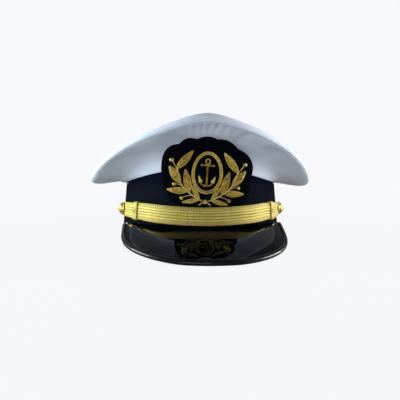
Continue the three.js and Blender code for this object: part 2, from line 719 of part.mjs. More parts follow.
// How far off the braid the strap must stand to clear the pad's face under its upper edge.
function padStandOff(turn) {
  const top = strapMiddle(turn) + strapWidth(turn) / 2 + CLEARANCE;
  const limit = STRAP_PAD_SHARE * PAD_HALF_WIDTH;
  const x = THREE.MathUtils.clamp(bandPoint(turn, BRAID_OUTSIDE, top).x, -limit, limit);
  const face = badgePoint(x, top, PAD_WALL);
  let [near, far] = [0, PAD_HALF_WIDTH];
  for (let step = 0; step < 20; step++) {
    const off = (near + far) / 2;
    const across = bandPoint(90, BRAID_OUTSIDE + off, top).x;
    const deep = bandPoint(180, BRAID_OUTSIDE + off, top).y;
    if (Math.hypot(face.x / across, face.y / deep) > 1) near = off;
    else far = off;
  }
  return far + CLEARANCE;
}

// How far each half of the strap stands off the braid: close at its button, clear of the slides from there
// on, and over the foot of the pad at the front.
function strapStandOff(turn, outerHalf) {
  const place = Math.abs(turn);
  const nearSlide = 1 - ease(place, SLIDE_TURN + SLIDE_LAP, BUTTON_TURN - BUTTON_LAP);
  const base = CLEARANCE + nearSlide * (SLIDE_WALL + CLEARANCE);
  const front = 1 - ease(place, ...STRAP_PAD_END);
  const over = STRAP_WALL + CLEARANCE;
  const lift = outerHalf ? (turn > 0 ? nearSlide : 1) * over : 0;
  return Math.max(0, padStandOff(turn) - base) * front + base + lift;
}

// Lace strap with raised cords along its face; a button end is rounded off.
function strapHalf(from, to, outerHalf, buttonEnd) {
  const face = Array.from({ length: 2 * STRAP_CORDS + 1 }, (_, i) => (
    [i / STRAP_CORDS - 1, STRAP_WALL - (i % 2 ? 0 : STRAP_CORD_DEPTH)]
  ));
  const section = [...face, [1, 0], [-1, 0]];
  const steps = Math.round((to - from) / STRAP_STEP);
  const turns = Array.from({ length: steps + 1 }, (_, i) => lerp(from, to, i / steps));
  turns.push(buttonEnd - (Math.sign(buttonEnd) * STRAP_ROUNDING) / 4);
  turns.sort((a, b) => a - b);
  return loft(turns.map((turn) => {
    const left = Math.min(1, Math.abs(turn - buttonEnd) / STRAP_ROUNDING);
    const half = (strapWidth(turn) / 2) * lerp(STRAP_TIP_SHARE, 1, Math.sqrt(1 - (1 - left) ** 2));
    const off = BRAID_OUTSIDE + strapStandOff(turn, outerHalf);
    return section.map(([up, out]) => bandPoint(turn, off + out, strapMiddle(turn) + half * up));
  }));
}

// Loop of lace round both halves of the strap.
function strapSlide(side) {
  const middle = side * SLIDE_TURN;
  const degree = bandPoint(middle, BRAID_OUTSIDE, 0).distanceTo(bandPoint(middle + 1, BRAID_OUTSIDE, 0));
  const reach = SLIDE_LENGTH / 2 / degree;
  const inner = strapStandOff(middle, false) - CLEARANCE;
  const outer = strapStandOff(middle, true) + STRAP_WALL + CLEARANCE;
  const tall = strapWidth(SLIDE_TURN - reach) / 2 + CLEARANCE;
  const corners = [[inner, -tall, -1, -1], [inner, tall, -1, 1], [outer, tall, 1, 1], [outer, -tall, 1, -1]];
  const turns = [middle - reach, middle, middle + reach];
  return loft(corners.map(([out, up, outWay, upWay]) => {
    const at = (turn, wall) => bandPoint(
      turn, BRAID_OUTSIDE + out + outWay * wall, strapMiddle(turn) + up + upWay * wall);
    const near = turns.map((turn) => at(turn, 0));
    const far = turns.map((turn) => at(turn, SLIDE_WALL));
    return [...far, ...near.reverse()];
  }), true);
}

// Place and direction of a button's post at the band.
function buttonSeat(side) {
  const turn = side * BUTTON_TURN;
  const seat = bandPoint(turn, BRAID_OUTSIDE, strapMiddle(turn));
  const along = bandPoint(turn + 1, BRAID_OUTSIDE, seat.z).sub(bandPoint(turn - 1, BRAID_OUTSIDE, seat.z));
  const up = bandPoint(turn, BRAID_OUTSIDE, seat.z + 1).sub(bandPoint(turn, BRAID_OUTSIDE, seat.z - 1));
  const out = along.cross(up).normalize();
  return { seat, turned: new THREE.Quaternion().setFromUnitVectors(new THREE.Vector3(0, 1, 0), out) };
}

function buttonHole(side) {
  const { seat, turned } = buttonSeat(side);
  const radius = SHANK_RADIUS + CLEARANCE;
  const bore = new THREE.CylinderGeometry(radius, radius, BORE_LENGTH, 12);
  bore.applyQuaternion(turned);
  bore.translate(seat.x, seat.y, seat.z);
  return closedBody(bore);
}

// Domed button with a small knob, its flat back on the strap and its post through strap, braid and frame.
function button() {
  const back = 2 * CLEARANCE + STRAP_WALL;
  const post = -(BRAID_OUTSIDE - 0.5 * FRAME_WALL);
  const profile = [
    [0, post], [SHANK_RADIUS, post], [SHANK_RADIUS, back],
    ...BUTTON_ROWS.map(({ radius, height }) => [radius * BUTTON_RADIUS, back + height * BUTTON_HEIGHT]),
  ];
  return closedBody(new THREE.LatheGeometry(profile.map(([r, y]) => new THREE.Vector2(r, y)), 16));
}

const cap = new THREE.Group();

function add(name, geometry, material) {
  const piece = new THREE.Mesh(geometry, material);
  piece.name = name;
  cap.add(piece);
  return piece;
}

const holes = [-1, 1].map(buttonHole);
add("cap_frame", cutBy(capFrame(), holes), NAVY_CLOTH);
add("ribbed_band", cutBy(ribbedBand(), holes), NAVY_BRAID);
add("crown_side", crownSide(), WHITE_CLOTH);
add("crown_top", crownTop(), WHITE_CLOTH);
add("peak", peak(), PATENT);
add("peak_binding", peakBinding(), PATENT);

const buttonEnd = BUTTON_TURN + BUTTON_LAP;
const slideEnd = SLIDE_TURN + SLIDE_LAP;
add("chin_strap_inner", cutBy(strapHalf(-buttonEnd, slideEnd, false, -buttonEnd), holes), GOLD_LACE);
add("chin_strap_outer", cutBy(strapHalf(-slideEnd, buttonEnd, true, buttonEnd), holes), GOLD_LACE);
for (const [side, name] of [[-1, "left"], [1, "right"]]) {
  add(`strap_slide_${name}`, strapSlide(side), GOLD_LACE);
  const { seat, turned } = buttonSeat(side);
  const piece = add(`button_${name}`, button(), GILT);
  piece.position.copy(seat);
  piece.quaternion.copy(turned);
}

add("badge_pad", badgePad(), BLACK_FELT);
add("spray_left", spray(-1), BULLION);
add("spray_right", spray(1), BULLION);
add("spray_tie", sprayTie(), BULLION);
add("badge_oval", badgeOval(), BULLION);
add("badge_anchor", badgeAnchor(), BULLION);

// Lowest point of the turned cap's front or back half.
function lowest(pitch, half) {
  cap.rotation.x = -pitch;
  cap.updateMatrixWorld(true);
  const point = new THREE.Vector3();
  let low = Infinity;
  for (const piece of cap.children) {
    const positions = piece.geometry.attributes.position;
    for (let i = 0; i < positions.count; i++) {
      point.fromBufferAttribute(positions, i).applyMatrix4(piece.matrixWorld);
      if (Math.sign(point.y) === half) low = Math.min(low, point.z);
    }
  }
  return low;
}

// The pitch at which peak and band touch the table together.
let [level, steep] = [0, Math.PI / 6];
for (let step = 0; step < 30; step++) {
  const pitch = (level + steep) / 2;
  if (lowest(pitch, -1) < lowest(pitch, 1)) level = pitch;
  else steep = pitch;
}
cap.rotation.x = -level;
cap.updateMatrixWorld(true);
const box = new THREE.Box3().setFromObject(cap, true);
cap.position.set(-(box.min.x + box.max.x) / 2, -(box.min.y + box.max.y) / 2, -box.min.z);

const part = new THREE.Group();
part.add(cap);

export default part;
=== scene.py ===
# %% [markdown]
# # A captain's cap, dressed for its picture
# The packed model is a closed, plain form of every piece. This notebook gives each of them the surface that
# the maker gave it: stretched white twill, ribbed mohair braid, gold lace, patent leather and gold wire on
# felt. Nothing changes its size or its place, so each cell starts from the sizes of the model.

import json
import math

import bmesh
import bpy
from mathutils import Matrix, Vector, noise


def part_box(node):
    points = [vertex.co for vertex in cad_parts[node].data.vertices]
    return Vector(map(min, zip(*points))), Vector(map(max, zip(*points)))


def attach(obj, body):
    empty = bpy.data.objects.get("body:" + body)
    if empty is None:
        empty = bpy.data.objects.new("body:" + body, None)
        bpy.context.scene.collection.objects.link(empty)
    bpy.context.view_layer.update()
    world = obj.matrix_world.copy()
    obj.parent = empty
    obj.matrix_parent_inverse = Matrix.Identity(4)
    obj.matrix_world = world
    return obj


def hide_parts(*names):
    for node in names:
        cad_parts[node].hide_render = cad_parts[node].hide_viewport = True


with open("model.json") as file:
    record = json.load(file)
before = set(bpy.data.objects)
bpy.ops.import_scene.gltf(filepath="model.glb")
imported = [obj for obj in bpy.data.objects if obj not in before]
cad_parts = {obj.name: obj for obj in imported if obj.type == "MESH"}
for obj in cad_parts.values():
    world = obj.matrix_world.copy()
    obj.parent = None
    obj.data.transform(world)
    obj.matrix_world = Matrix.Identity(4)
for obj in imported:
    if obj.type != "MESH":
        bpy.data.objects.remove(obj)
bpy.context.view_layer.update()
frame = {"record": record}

# %% [markdown]
# ## The cap's own frame
# A cap-maker measures from the band's lower edge, so every piece is drawn upright, in millimetres, round the
# band's middle. A place round the band is a turn in degrees, 0 in front and 90 at the viewer's right. From
# here on each step starts with the model's sizes, written again because a scene can't read its source.

# %% Places on the band
CLEARANCE = 0.3
HEAD_HALF_WIDTH = 77.6
HEAD_HALF_LENGTH = 101
FRAME_WALL = 2
BRAID_WALL = 1.6
BRAID_HEIGHT = 44
BAND_LEAN = 3.5
HEM_RISE = 13
HEM_LEFT_POWER = 2
HEM_RIGHT_POWER = 3.5
BRAID_INSIDE = FRAME_WALL + CLEARANCE
BRAID_OUTSIDE = BRAID_INSIDE + BRAID_WALL
GIRTH = math.pi * (HEAD_HALF_WIDTH + HEAD_HALF_LENGTH + 2 * BRAID_OUTSIDE)


def band_point(turn, out, height):
    """Place at a turn round the band, so far out from the frame's inner face and so high."""
    inset = BAND_LEAN * height / BRAID_HEIGHT
    angle = math.radians(turn)
    return Vector((
        (HEAD_HALF_WIDTH + out - inset) * math.sin(angle),
        -(HEAD_HALF_LENGTH + out - inset) * math.cos(angle),
        height,
    ))


def hem_height(turn):
    """Height of the crown's hem, which rises above the braid in front."""
    front = max(0, math.cos(math.radians(turn)))
    power = HEM_LEFT_POWER if turn < 0 else HEM_RIGHT_POWER
    return BRAID_HEIGHT + CLEARANCE + HEM_RISE * front**power


print("the band is", round(GIRTH), "mm round")

# %% [markdown]
# The cap rests on its peak and is pitched back a little. The record's mount is a face of the band's lower
# edge, so its axis gives the pitch, and the model's own box of the cap's frame shows how far the upright one
# has to be shifted. One matrix then lays every piece down.

# %% How the cap lies
HEM_LAP = 9
UP = Vector((0, 0, 1))
axis = Vector(frame["record"]["mounts"][0]["axis"])
pitch = math.atan2(axis.y, axis.z) + math.pi
turned = Matrix.Rotation(-pitch, 4, "X")
low, high = (Vector(corner) * 1000 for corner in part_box("cap_frame"))
rear_edge = turned @ band_point(180, FRAME_WALL, 0)
rear_top = turned @ band_point(180, FRAME_WALL, hem_height(180) + HEM_LAP)
shift = Vector(((low.x + high.x) / 2, high.y - rear_top.y, low.z - rear_edge.z))
PITCHED = Matrix.Translation(shift) @ turned
LAY_DOWN = Matrix.Scale(0.001, 4) @ PITCHED
print("pitched back", round(math.degrees(pitch), 3), "degrees")
print("shifted by", [round(value, 3) for value in shift], "mm")

# %% [markdown]
# ## Shader maths as plain expressions
# A woven cloth is a sum of waves, and a sum reads best as one. This class wraps a socket and turns + - * /
# into Math nodes, and its node method adds any other node, with its settings first and its sockets after.
# Grain reads the object's own coordinates. Threads read the piece's map, which is in millimetres along and
# across them.

# %% Fields
class Field:
    """A shader socket that can be added, scaled and compared like a number."""

    def __init__(self, tree, socket=None):
        self.tree = tree
        self.socket = socket

    def node(self, kind, settings=None, sockets=None, out=0):
        made = self.tree.nodes.new("ShaderNode" + kind)
        for name, value in (settings or {}).items():
            setattr(made, name, value)
        for key, value in (sockets or {}).items():
            if isinstance(value, Field):
                self.tree.links.new(value.socket, made.inputs[key])
            else:
                made.inputs[key].default_value = value
        return Field(self.tree, made.outputs[out])

    def __getitem__(self, name):
        return Field(self.tree, self.socket.node.outputs[name])

    def math(self, operation, first, second=0.0):
        return self.node("Math", {"operation": operation}, {0: first, 1: second})

    def sine(self):
        return self.math("SINE", self)

    def size(self):
        return self.math("ABSOLUTE", self)

    def held(self):
        return self.node("Math", {"operation": "ADD", "use_clamp": True}, {0: self, 1: 0.0})

    def __add__(self, other):
        return self.math("ADD", self, other)

    def __radd__(self, other):
        return self.math("ADD", other, self)

    def __sub__(self, other):
        return self.math("SUBTRACT", self, other)

    def __rsub__(self, other):
        return self.math("SUBTRACT", other, self)

    def __truediv__(self, other):
        return self.math("DIVIDE", self, other)

    def __rtruediv__(self, other):
        return self.math("DIVIDE", other, self)

    def __mul__(self, other):
        return self.math("MULTIPLY", self, other)

    def __rmul__(self, other):
        return self.math("MULTIPLY", other, self)

    def blend(self, dark, light):
        """Colour that goes from dark to light with this field."""
        return self.node("Mix", {"data_type": "RGBA"}, {0: self, 6: dark, 7: light}, 2)

    def relief(self, depth, strength=1.0):
        """Normal of a surface that this field raises by a depth in millimetres."""
        sockets = {"Height": self, "Distance": depth / 1000, "Strength": strength}
        return self.node("Bump", {}, sockets, "Normal")

    def grain(self, scale, detail=3.0, roughness=0.55):
        """Uneven field over the object, with so many grains to a metre."""
        place = self.node("TexCoord", {}, {}, "Object")
        sockets = {"Vector": place, "Scale": scale, "Detail": detail, "Roughness": roughness}
        return self.node("TexNoise", {}, sockets, 0)

    def weave(self):
        """Place on the piece's own cloth, in millimetres, as X along it and Y across."""
        place = self.node("UVMap", {"uv_map": "weave"}, {}, "UV")
        return self.node("SeparateXYZ", {}, {"Vector": place}, "X")


print("a field knows", [name for name in vars(Field) if not name.startswith("__")])

# %% [markdown]
# Every material starts from the same node, so one helper sets its even values and links what a paint
# function returns for its uneven ones.

# %% Finish from a paint function
TURN = 2 * math.pi


def finish(name, paint, **fixed):
    """Material whose even values are set and whose uneven ones are painted by a function."""
    material = bpy.data.materials.new(name)
    material.use_nodes = True
    shader = material.node_tree.nodes["Principled BSDF"]
    for socket, value in fixed.items():
        shader.inputs[socket.replace("_", " ")].default_value = value
    for socket, value in paint(Field(material.node_tree)).items():
        material.node_tree.links.new(value.socket, shader.inputs[socket])
    print("finish", name, "with", len(material.node_tree.nodes), "nodes")
    return material


print("one turn of a wave is", round(TURN, 4))

# %% [markdown]
# ## Finishes
# Cloth first. White cotton twill has fine diagonal ribs, soft unevenness from pressing and a little sheen.
# It could be an image, but waves along the piece's own threads stay sharp at any distance and follow the
# cloth where it turns. The dark cloths have no gloss at all, so that they stay navy and black in any light.

# %% White twill
TWILL_RIB = 0.9
TWILL_THREAD = 1.1


def paint_twill(start):
    u = start.weave()
    v = u["Y"]
    rib = ((u + v) * (TURN / TWILL_RIB)).sine()
    thread = ((u - v * 3) * (TURN / TWILL_THREAD)).sine()
    press = start.grain(28, 4)
    soil = start.grain(9, 2)
    height = rib * 0.5 + thread * 0.15 + press * 6
    return {
        "Base Color": soil.blend((0.62, 0.67, 0.75, 1), (0.74, 0.77, 0.83, 1)),
        "Roughness": press * 0.2 + 0.72,
        "Normal": height.relief(0.07, 0.7),
    }


def paint_thread(start):
    strand = start.grain(900, 2)
    return {"Base Color": strand.blend((0.5, 0.54, 0.6, 1), (0.72, 0.75, 0.8, 1))}


white_twill = finish("white_twill", paint_twill, Sheen_Weight=0.1, Specular_IOR_Level=0.2)
white_thread = finish("white_thread", paint_thread, Roughness=0.6)

# %% Dark cloths
BRAID_THREAD = 0.8
BRAID_CROSSING = 1.9


def paint_wool(start):
    nap = start.grain(1500, 2)
    patch = start.grain(60, 3)
    return {
        "Base Color": patch.blend((0.0026, 0.003, 0.0085, 1), (0.0055, 0.0065, 0.0155, 1)),
        "Roughness": nap * 0.15 + 0.8,
        "Normal": (nap + patch).relief(0.2, 0.6),
    }


def paint_braid(start):
    u = start.weave()
    thread = (u * (TURN / BRAID_THREAD)).sine() * (u["Y"] * (TURN / BRAID_CROSSING) + 0.6).sine()
    sheen = start.grain(90, 3)
    return {
        "Base Color": sheen.blend((0.0032, 0.004, 0.0064, 1), (0.0072, 0.0088, 0.0135, 1)),
        "Roughness": sheen * 0.2 + 0.65,
        "Normal": (thread * 0.5 + sheen).relief(0.12, 0.6),
    }


def paint_felt(start):
    fibre = start.grain(2200, 3, 0.7)
    patch = start.grain(120, 4)
    return {
        "Base Color": patch.blend((0.0013, 0.0018, 0.003, 1), (0.0032, 0.004, 0.0062, 1)),
        "Roughness": fibre * 0.1 + 0.88,
        "Normal": (fibre * 0.6 + patch).relief(0.25, 0.7),
    }


navy_wool = finish("navy_wool", paint_wool, Specular_IOR_Level=0.0)
mohair_braid = finish("mohair_braid", paint_braid, Specular_IOR_Level=0.0)
black_felt = finish("black_felt", paint_felt, Specular_IOR_Level=0.0)

# %% [markdown]
# Patent leather is dyed black and then lacquered. It could be one glossy layer, but two keep the black deep
# and the gloss sharp: a dark body without gloss and a clear coat over it. Its reflections waver a little
# because the board under the lacquer isn't quite flat. The rolled binding is creased and duller, and the
# hidden underside is plain grained leather.

# %% Leather finishes
def paint_patent(start):
    board = start.grain(26, 2)
    wear = start.grain(300, 5, 0.7)
    return {
        "Base Color": wear.blend((0.0005, 0.0009, 0.0016, 1), (0.0012, 0.0018, 0.003, 1)),
        "Roughness": wear * 0.05 + 0.05,
        "Normal": board.relief(0.25, 0.35),
    }


def paint_rolled(start):
    crease = start.grain(420, 4, 0.6)
    return {
        "Base Color": crease.blend((0.002, 0.0025, 0.0035, 1), (0.006, 0.007, 0.009, 1)),
        "Roughness": crease * 0.2 + 0.28,
        "Normal": crease.relief(0.12, 0.6),
    }


def paint_leather(start):
    pore = start.grain(700, 4, 0.6)
    return {
        "Base Color": pore.blend((0.002, 0.002, 0.003, 1), (0.008, 0.008, 0.009, 1)),
        "Normal": pore.relief(0.15, 0.6),
    }


patent = finish(
    "patent", paint_patent, Specular_IOR_Level=0.0, Coat_Weight=1.0, Coat_Roughness=0.035, Coat_IOR=1.34)
rolled_patent = finish(
    "rolled_patent", paint_rolled, Specular_IOR_Level=0.1, Coat_Weight=0.2, Coat_Roughness=0.12)
grained_leather = finish("grained_leather", paint_leather, Roughness=0.55)

# %% [markdown]
# Gold comes in three forms here. The chin strap is lace: gilt wire woven over cords, with a ribbed face and
# a line of stitch holes inside each edge. Its colour is darkened in the grooves between the cords, in the
# holes and in two thin lines where the under-strap's ends press through: painted shade. The embroidery is
# bullion, a coiled wire that glitters because every coil faces another way, and its colour swings at random
# from dark
# to bright: painted glitter and shade. The buttons are stamped and polished. A full metal would mirror the
# dark room, so the lace is mostly coloured thread with a little metal in it, and the bullion about half.

# %% Gold lace
LACE_WRAP = 1.0
HOLE_PITCH = 2.6
HOLE_LINE = 6.4
CORD_PITCH = 2.5
JOIN_PLACES = (-18.7, 23.5)


def paint_lace(start):
    u = start.weave()
    v = u["Y"]
    wrap = ((u + v * 0.35) * (TURN / LACE_WRAP)).sine()
    tone = start.grain(160, 3)
    edge = ((v.size() - HOLE_LINE).size() * -2 + 1.5).held()
    # Darker in the stitch holes, which the bump also sinks: painted shade in the holes.
    hole = ((u * (TURN / HOLE_PITCH)).sine() * 3 + 0.5).held() * edge
    # Darker in the grooves between the raised cords of the geometry: painted shade.
    groove = ((v * (TURN / CORD_PITCH / 2)).sine().size() * 1.6 - 0.1).held()
    # Two thin darker lines where the under-strap's ends press through, a step that isn't modelled: painted
    # shade.
    first_join_shade, second_join_shade = (((u - place).size() * -2.5 + 1).held() for place in JOIN_PLACES)
    join_shade = (first_join_shade + second_join_shade).held()
    shade = (groove * 0.65 + tone * 0.5) * (1 - hole * 0.85) * (1 - join_shade * 0.45)
    return {
        "Base Color": shade.held().blend((0.08, 0.05, 0.003, 1), (0.6, 0.47, 0.1, 1)),
        "Roughness": tone * 0.2 + 0.42,
        "Normal": (wrap * 0.5 - hole * 2 + tone).relief(0.14, 0.8),
    }


SLIDE_RIB = 1.3


def paint_slide(start):
    u = start.weave()
    twill = ((u + u["Y"]) * (TURN / SLIDE_RIB)).sine()
    tone = start.grain(160, 3)
    shade = (twill * 0.25 + tone * 0.9).held()
    return {
        "Base Color": shade.blend((0.27, 0.21, 0.03, 1), (0.68, 0.56, 0.13, 1)),
        "Roughness": tone * 0.2 + 0.35,
        "Normal": (twill + tone).relief(0.14, 0.8),
    }


gold_lace = finish("gold_lace", paint_lace, Metallic=0.15, Specular_IOR_Level=0.15)
slide_lace = finish("slide_lace", paint_slide, Metallic=0.15, Specular_IOR_Level=0.15)

# %% Bullion and gilt
def paint_bullion(start):
    glint = start.grain(1400, 2, 0.7)
    tone = start.grain(480, 2)
    # The wide swing from dark brown to bright gold, at random, is painted glitter and painted shade between
    # coils.
    shade = ((tone - 0.32) * 2.4 + glint * 0.2).held()
    return {
        "Base Color": shade.blend((0.1, 0.05, 0.004, 1), (0.8, 0.52, 0.06, 1)),
        "Roughness": glint * 0.3 + 0.28,
        "Normal": glint.relief(0.08, 0.6),
    }


def paint_purl(start):
    glint = start.grain(1400, 2, 0.7)
    return {
        "Base Color": glint.blend((0.55, 0.37, 0.06, 1), (0.9, 0.7, 0.2, 1)),
        "Roughness": glint * 0.25 + 0.22,
    }


def paint_gilt(start):
    haze = start.grain(240, 4)
    return {
        "Base Color": haze.blend((0.5, 0.33, 0.06, 1), (0.78, 0.56, 0.14, 1)),
        "Roughness": haze * 0.2 + 0.24,
        "Normal": haze.relief(0.04, 0.4),
    }


bullion = finish("bullion", paint_bullion, Metallic=0.6)
bright_purl = finish("bright_purl", paint_purl, Metallic=0.6)
gilt = finish("gilt", paint_gilt, Metallic=1.0)

# %% [markdown]
# ## One way to make a skin
# Nearly every piece of a cap is a strip with a section that changes along it. Blender's grid operator makes
# the corners and faces of such a strip, and then each corner goes to its place on the section. Merging the
# doubles closes a ring and shuts the poles, and the grid's own map keeps the run of the threads.

# %% Skin over sections
MERGE_DISTANCE = 1e-4


def new_mesh():
    bm = bmesh.new()
    bm.loops.layers.uv.new("weave")
    return bm


def skin(sections, ring=False, looped=True, threads=(1, 1), material=None):
    """Mesh of a grid over sections, which are lists of as many places each. A ring joins the last section
    to the first, and a looped section joins its last place to its first. Threads are the map's sizes in
    millimetres, and material(row) gives a row's finish."""
    bm = new_mesh()
    columns = len(sections) - (0 if ring else 1)
    rows = len(sections[0]) - (0 if looped else 1)
    layer = bm.loops.layers.uv["weave"]
    bmesh.ops.create_grid(bm, x_segments=columns, y_segments=rows, size=0.5, calc_uvs=True)
    for face in bm.faces:
        if material:
            face.material_index = material(int((face.calc_center_median().y + 0.5) * rows))
        for loop in face.loops:
            u, v = loop.vert.co.x + 0.5, loop.vert.co.y
            loop[layer].uv = (u * threads[0], v * threads[1])
    for vert in bm.verts:
        i = round((vert.co.x + 0.5) * columns) % len(sections)
        j = round((vert.co.y + 0.5) * rows) % len(sections[0])
        vert.co = sections[i][j]
    bmesh.ops.remove_doubles(bm, verts=bm.verts, dist=MERGE_DISTANCE)
    rims = [edge for edge in bm.edges if edge.is_boundary]
    if rims:
        bmesh.ops.holes_fill(bm, edges=rims)
    return bm


print("corners closer than", MERGE_DISTANCE, "mm are merged")

# %% [markdown]
# A sheet of cloth has two faces and rounded edges. Its section is worked out from its outer face alone: the
# middle of the wall lies half a wall inside, and the edges are half circles round that middle. Solidify
# would do for a flat wall, but here every section needs the same count of places.

# %% Section of a sheet
def sheet_section(face, wall, steps, rounds=3):
    """Places round a sheet. face(share) gives a place on its outer face, the way out and the way on."""
    section = []
    for end, shares, turned in ((1, range(steps + 1), 0), (0, range(steps, -1, -1), math.pi)):
        for i in shares:
            point, out, along = face(i / steps)
            middle = point - out * (wall / 2)
            if i in (0, steps):
                middle += along * (wall / 2 if i == 0 else -wall / 2)
            section.append(middle + out * (wall / 2 * math.cos(turned)))
        point, out, along = face(end)
        middle = point - out * (wall / 2) + along * (-wall / 2 if end else wall / 2)
        for k in range(1, rounds):
            angle = turned + math.pi * k / rounds
            section.append(middle + (out * math.cos(angle) + along * math.sin(angle)) * (wall / 2))
    return section


ROUND_STEPS = 270
round_turns = [-180 + 360 * i / ROUND_STEPS for i in range(ROUND_STEPS)]
print(ROUND_STEPS, "sections round the cap")

# %% [markdown]
# Cords are skins too: a ring of places round a line, which a helix may cut into for the look of wound wire.
# Stitches and cut wires are stretched balls. Operators slow down in a large mesh, so each small thing is
# made in a mesh of its own and then added.

# %% Cords and grains
GRAIN_BATCH = 50
TUBE_NUDGE = 0.002


def add(bm, small):
    """Puts a small mesh into a large one and frees it."""
    mesh = bpy.data.meshes.new("small")
    small.to_mesh(mesh)
    small.free()
    bm.from_mesh(mesh)
    bpy.data.meshes.remove(mesh)


def tube(bm, middle, radius, steps, sides=8, ring=False, flat=1.0, coils=0, depth=0.0, material=0):
    """Adds a round cord along middle(share), drawn flat, with coils cut into it by a share of its radius.
    The radius is a number or a function of the share."""
    sections = []
    for i in range(steps if ring else steps + 1):
        share = i / steps
        size = radius(share) if callable(radius) else radius
        ahead = middle((share + TUBE_NUDGE) % 1 if ring else min(1, share + TUBE_NUDGE))
        behind = middle((share - TUBE_NUDGE) % 1 if ring else max(0, share - TUBE_NUDGE))
        along = (ahead - behind).normalized()
        across = along.cross(UP).normalized()
        section = []
        for j in range(sides):
            angle = TURN * j / sides
            groove = 1 - depth * (0.5 + 0.5 * math.cos(TURN * coils * share + angle))
            way = across * math.cos(angle) + UP * (flat * math.sin(angle))
            section.append(middle(share) + way * (size * groove))
        sections.append(section)
    add(bm, skin(sections, ring, material=lambda row: material))


def grains(bm, places, around, rings, material=0):
    """Adds a unit ball, stretched and turned by each matrix, for stitches and short wires."""
    for first in range(0, len(places), GRAIN_BATCH):
        small = new_mesh()
        for place in places[first:first + GRAIN_BATCH]:
            bmesh.ops.create_uvsphere(small, u_segments=around, v_segments=rings, radius=1, matrix=place)
        for face in small.faces:
            face.material_index = material
        add(bm, small)


print("grains are made", GRAIN_BATCH, "at a time")

# %% [markdown]
# A finished piece has its faces outwards and smooth, and its corners sharp. Its place is in its mesh, so the
# object itself stays at the origin. It rides on the one rigid body and stands for the model's own solid.

# %% Finished piece
def piece(name, bm, slot, *finishes, replaces=(), crease=50):
    """Turns the mesh outwards, lays it down as the cap lies and hands it over as a finished piece."""
    bmesh.ops.recalc_face_normals(bm, faces=bm.faces)
    bm.transform(LAY_DOWN)
    mesh = bpy.data.meshes.new(name)
    bm.to_mesh(mesh)
    bm.free()
    mesh.shade_smooth()
    mesh.set_sharp_from_angle(angle=math.radians(crease))
    for material in finishes:
        mesh.materials.append(material)
    made = bpy.data.objects.new(name, mesh)
    bpy.context.scene.collection.objects.link(made)
    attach(made, "root")
    if replaces:
        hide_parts(*replaces)
    triangles = sum(len(face.vertices) - 2 for face in mesh.polygons)
    print(name, triangles, "triangles")
    return made


print("a millimetre becomes", round(LAY_DOWN.to_scale().x, 6), "m")

# %% [markdown]
# ## Band: frame and braid
# The band is a stiff oval wall that leans in a little. The frame behind is covered with plain navy cloth and
# shows above the braid in front, where the crown's hem rises. It could be a cylinder with a Solidify on it,
# but its upper edge follows the hem, so it is a skin like the rest.

# %% Frame
FRAME_STEPS = 12
FRAME_MAP_HEIGHT = 90


def frame_sections():
    sections = []
    for turn in round_turns:
        top = hem_height(turn) + HEM_LAP

        def face(share, top=top):
            return Vector((FRAME_WALL, top * share)), Vector((1, 0)), Vector((0, 1))

        wall = sheet_section(face, FRAME_WALL, FRAME_STEPS)
        sections.append([band_point(turn, place.x, place.y) for place in wall])
    return sections


piece(
    "band_frame", skin(frame_sections(), ring=True, threads=(GIRTH, FRAME_MAP_HEIGHT)),
    "navy_cloth", navy_wool, replaces=["cap_frame"])

# %% [markdown]
# The braid is mohair with level ribs. They could be waves in its finish, but here they are real, because
# they give the band its broken edge and its fine lines of light.

# %% Braid
RIB_PITCH = 1.76
RIB_DEPTH = 0.35
RIB_STEPS = 5
BRAID_MAP_HEIGHT = 92


def braid_sections():
    ribs = round(BRAID_HEIGHT / RIB_PITCH)
    places = []
    for k in range(ribs * RIB_STEPS + 1):
        height = BRAID_HEIGHT * k / (ribs * RIB_STEPS)
        sunk = RIB_DEPTH * (1 - abs(math.sin(math.pi * k / RIB_STEPS)))
        places.append((BRAID_OUTSIDE - sunk, height))
    places += [(BRAID_INSIDE, BRAID_HEIGHT), (BRAID_INSIDE, 0)]
    return [[band_point(turn, out, height) for out, height in places] for turn in round_turns]


piece(
    "mohair_band", skin(braid_sections(), ring=True, threads=(GIRTH, BRAID_MAP_HEIGHT)),
    "navy_braid", mohair_braid, replaces=["ribbed_band"], crease=80)

# %% [markdown]
# ## Crown
# The crown is two cloths sewn round a hoop: a side panel that flares out from the band, and a top that rolls
# over the hoop. The hoop is bent, high in front and low at the sides. Its height is known at a few turns,
# and a smooth curve through the rows of a table gives it everywhere else.

# %% Rows of a table
RIM_ROWS = [
    {"turn": 0, "front": 1, "rear": 0},
    {"turn": 20, "front": 0.81, "rear": 0},
    {"turn": 31, "front": 0.665, "rear": 0},
    {"turn": 43, "front": 0.5, "rear": 0},
    {"turn": 58, "front": 0.27, "rear": 0},
    {"turn": 70, "front": 0.1, "rear": 0},
    {"turn": 90, "front": 0, "rear": 0},
    {"turn": 120, "front": 0, "rear": 0.16},
    {"turn": 150, "front": 0, "rear": 0.68},
    {"turn": 180, "front": 0, "rear": 1},
]


def column(rows, name, turn):
    """Smooth value of one column of a table at a turn from the front."""
    place = min(abs(turn), rows[-1]["turn"])
    after = next(i for i, row in enumerate(rows) if i and row["turn"] >= place)
    a, b = rows[after - 1], rows[after]
    before = rows[after - 2] if after > 1 else {**b, "turn": 2 * a["turn"] - b["turn"]}
    beyond = rows[after + 1] if after + 1 < len(rows) else {**a, "turn": 2 * b["turn"] - a["turn"]}
    run = b["turn"] - a["turn"]
    start = (b[name] - before[name]) / (b["turn"] - before["turn"]) * run
    end = (beyond[name] - a[name]) / (beyond["turn"] - a["turn"]) * run
    t = (place - a["turn"]) / run
    return (
        (2 * t**3 - 3 * t**2 + 1) * a[name]
        + (t**3 - 2 * t**2 + t) * start
        + (3 * t**2 - 2 * t**3) * b[name]
        + (t**3 - t**2) * end
    )


print("at 10 degrees the hoop keeps", round(column(RIM_ROWS, "front", 10), 3), "of its rise in front")

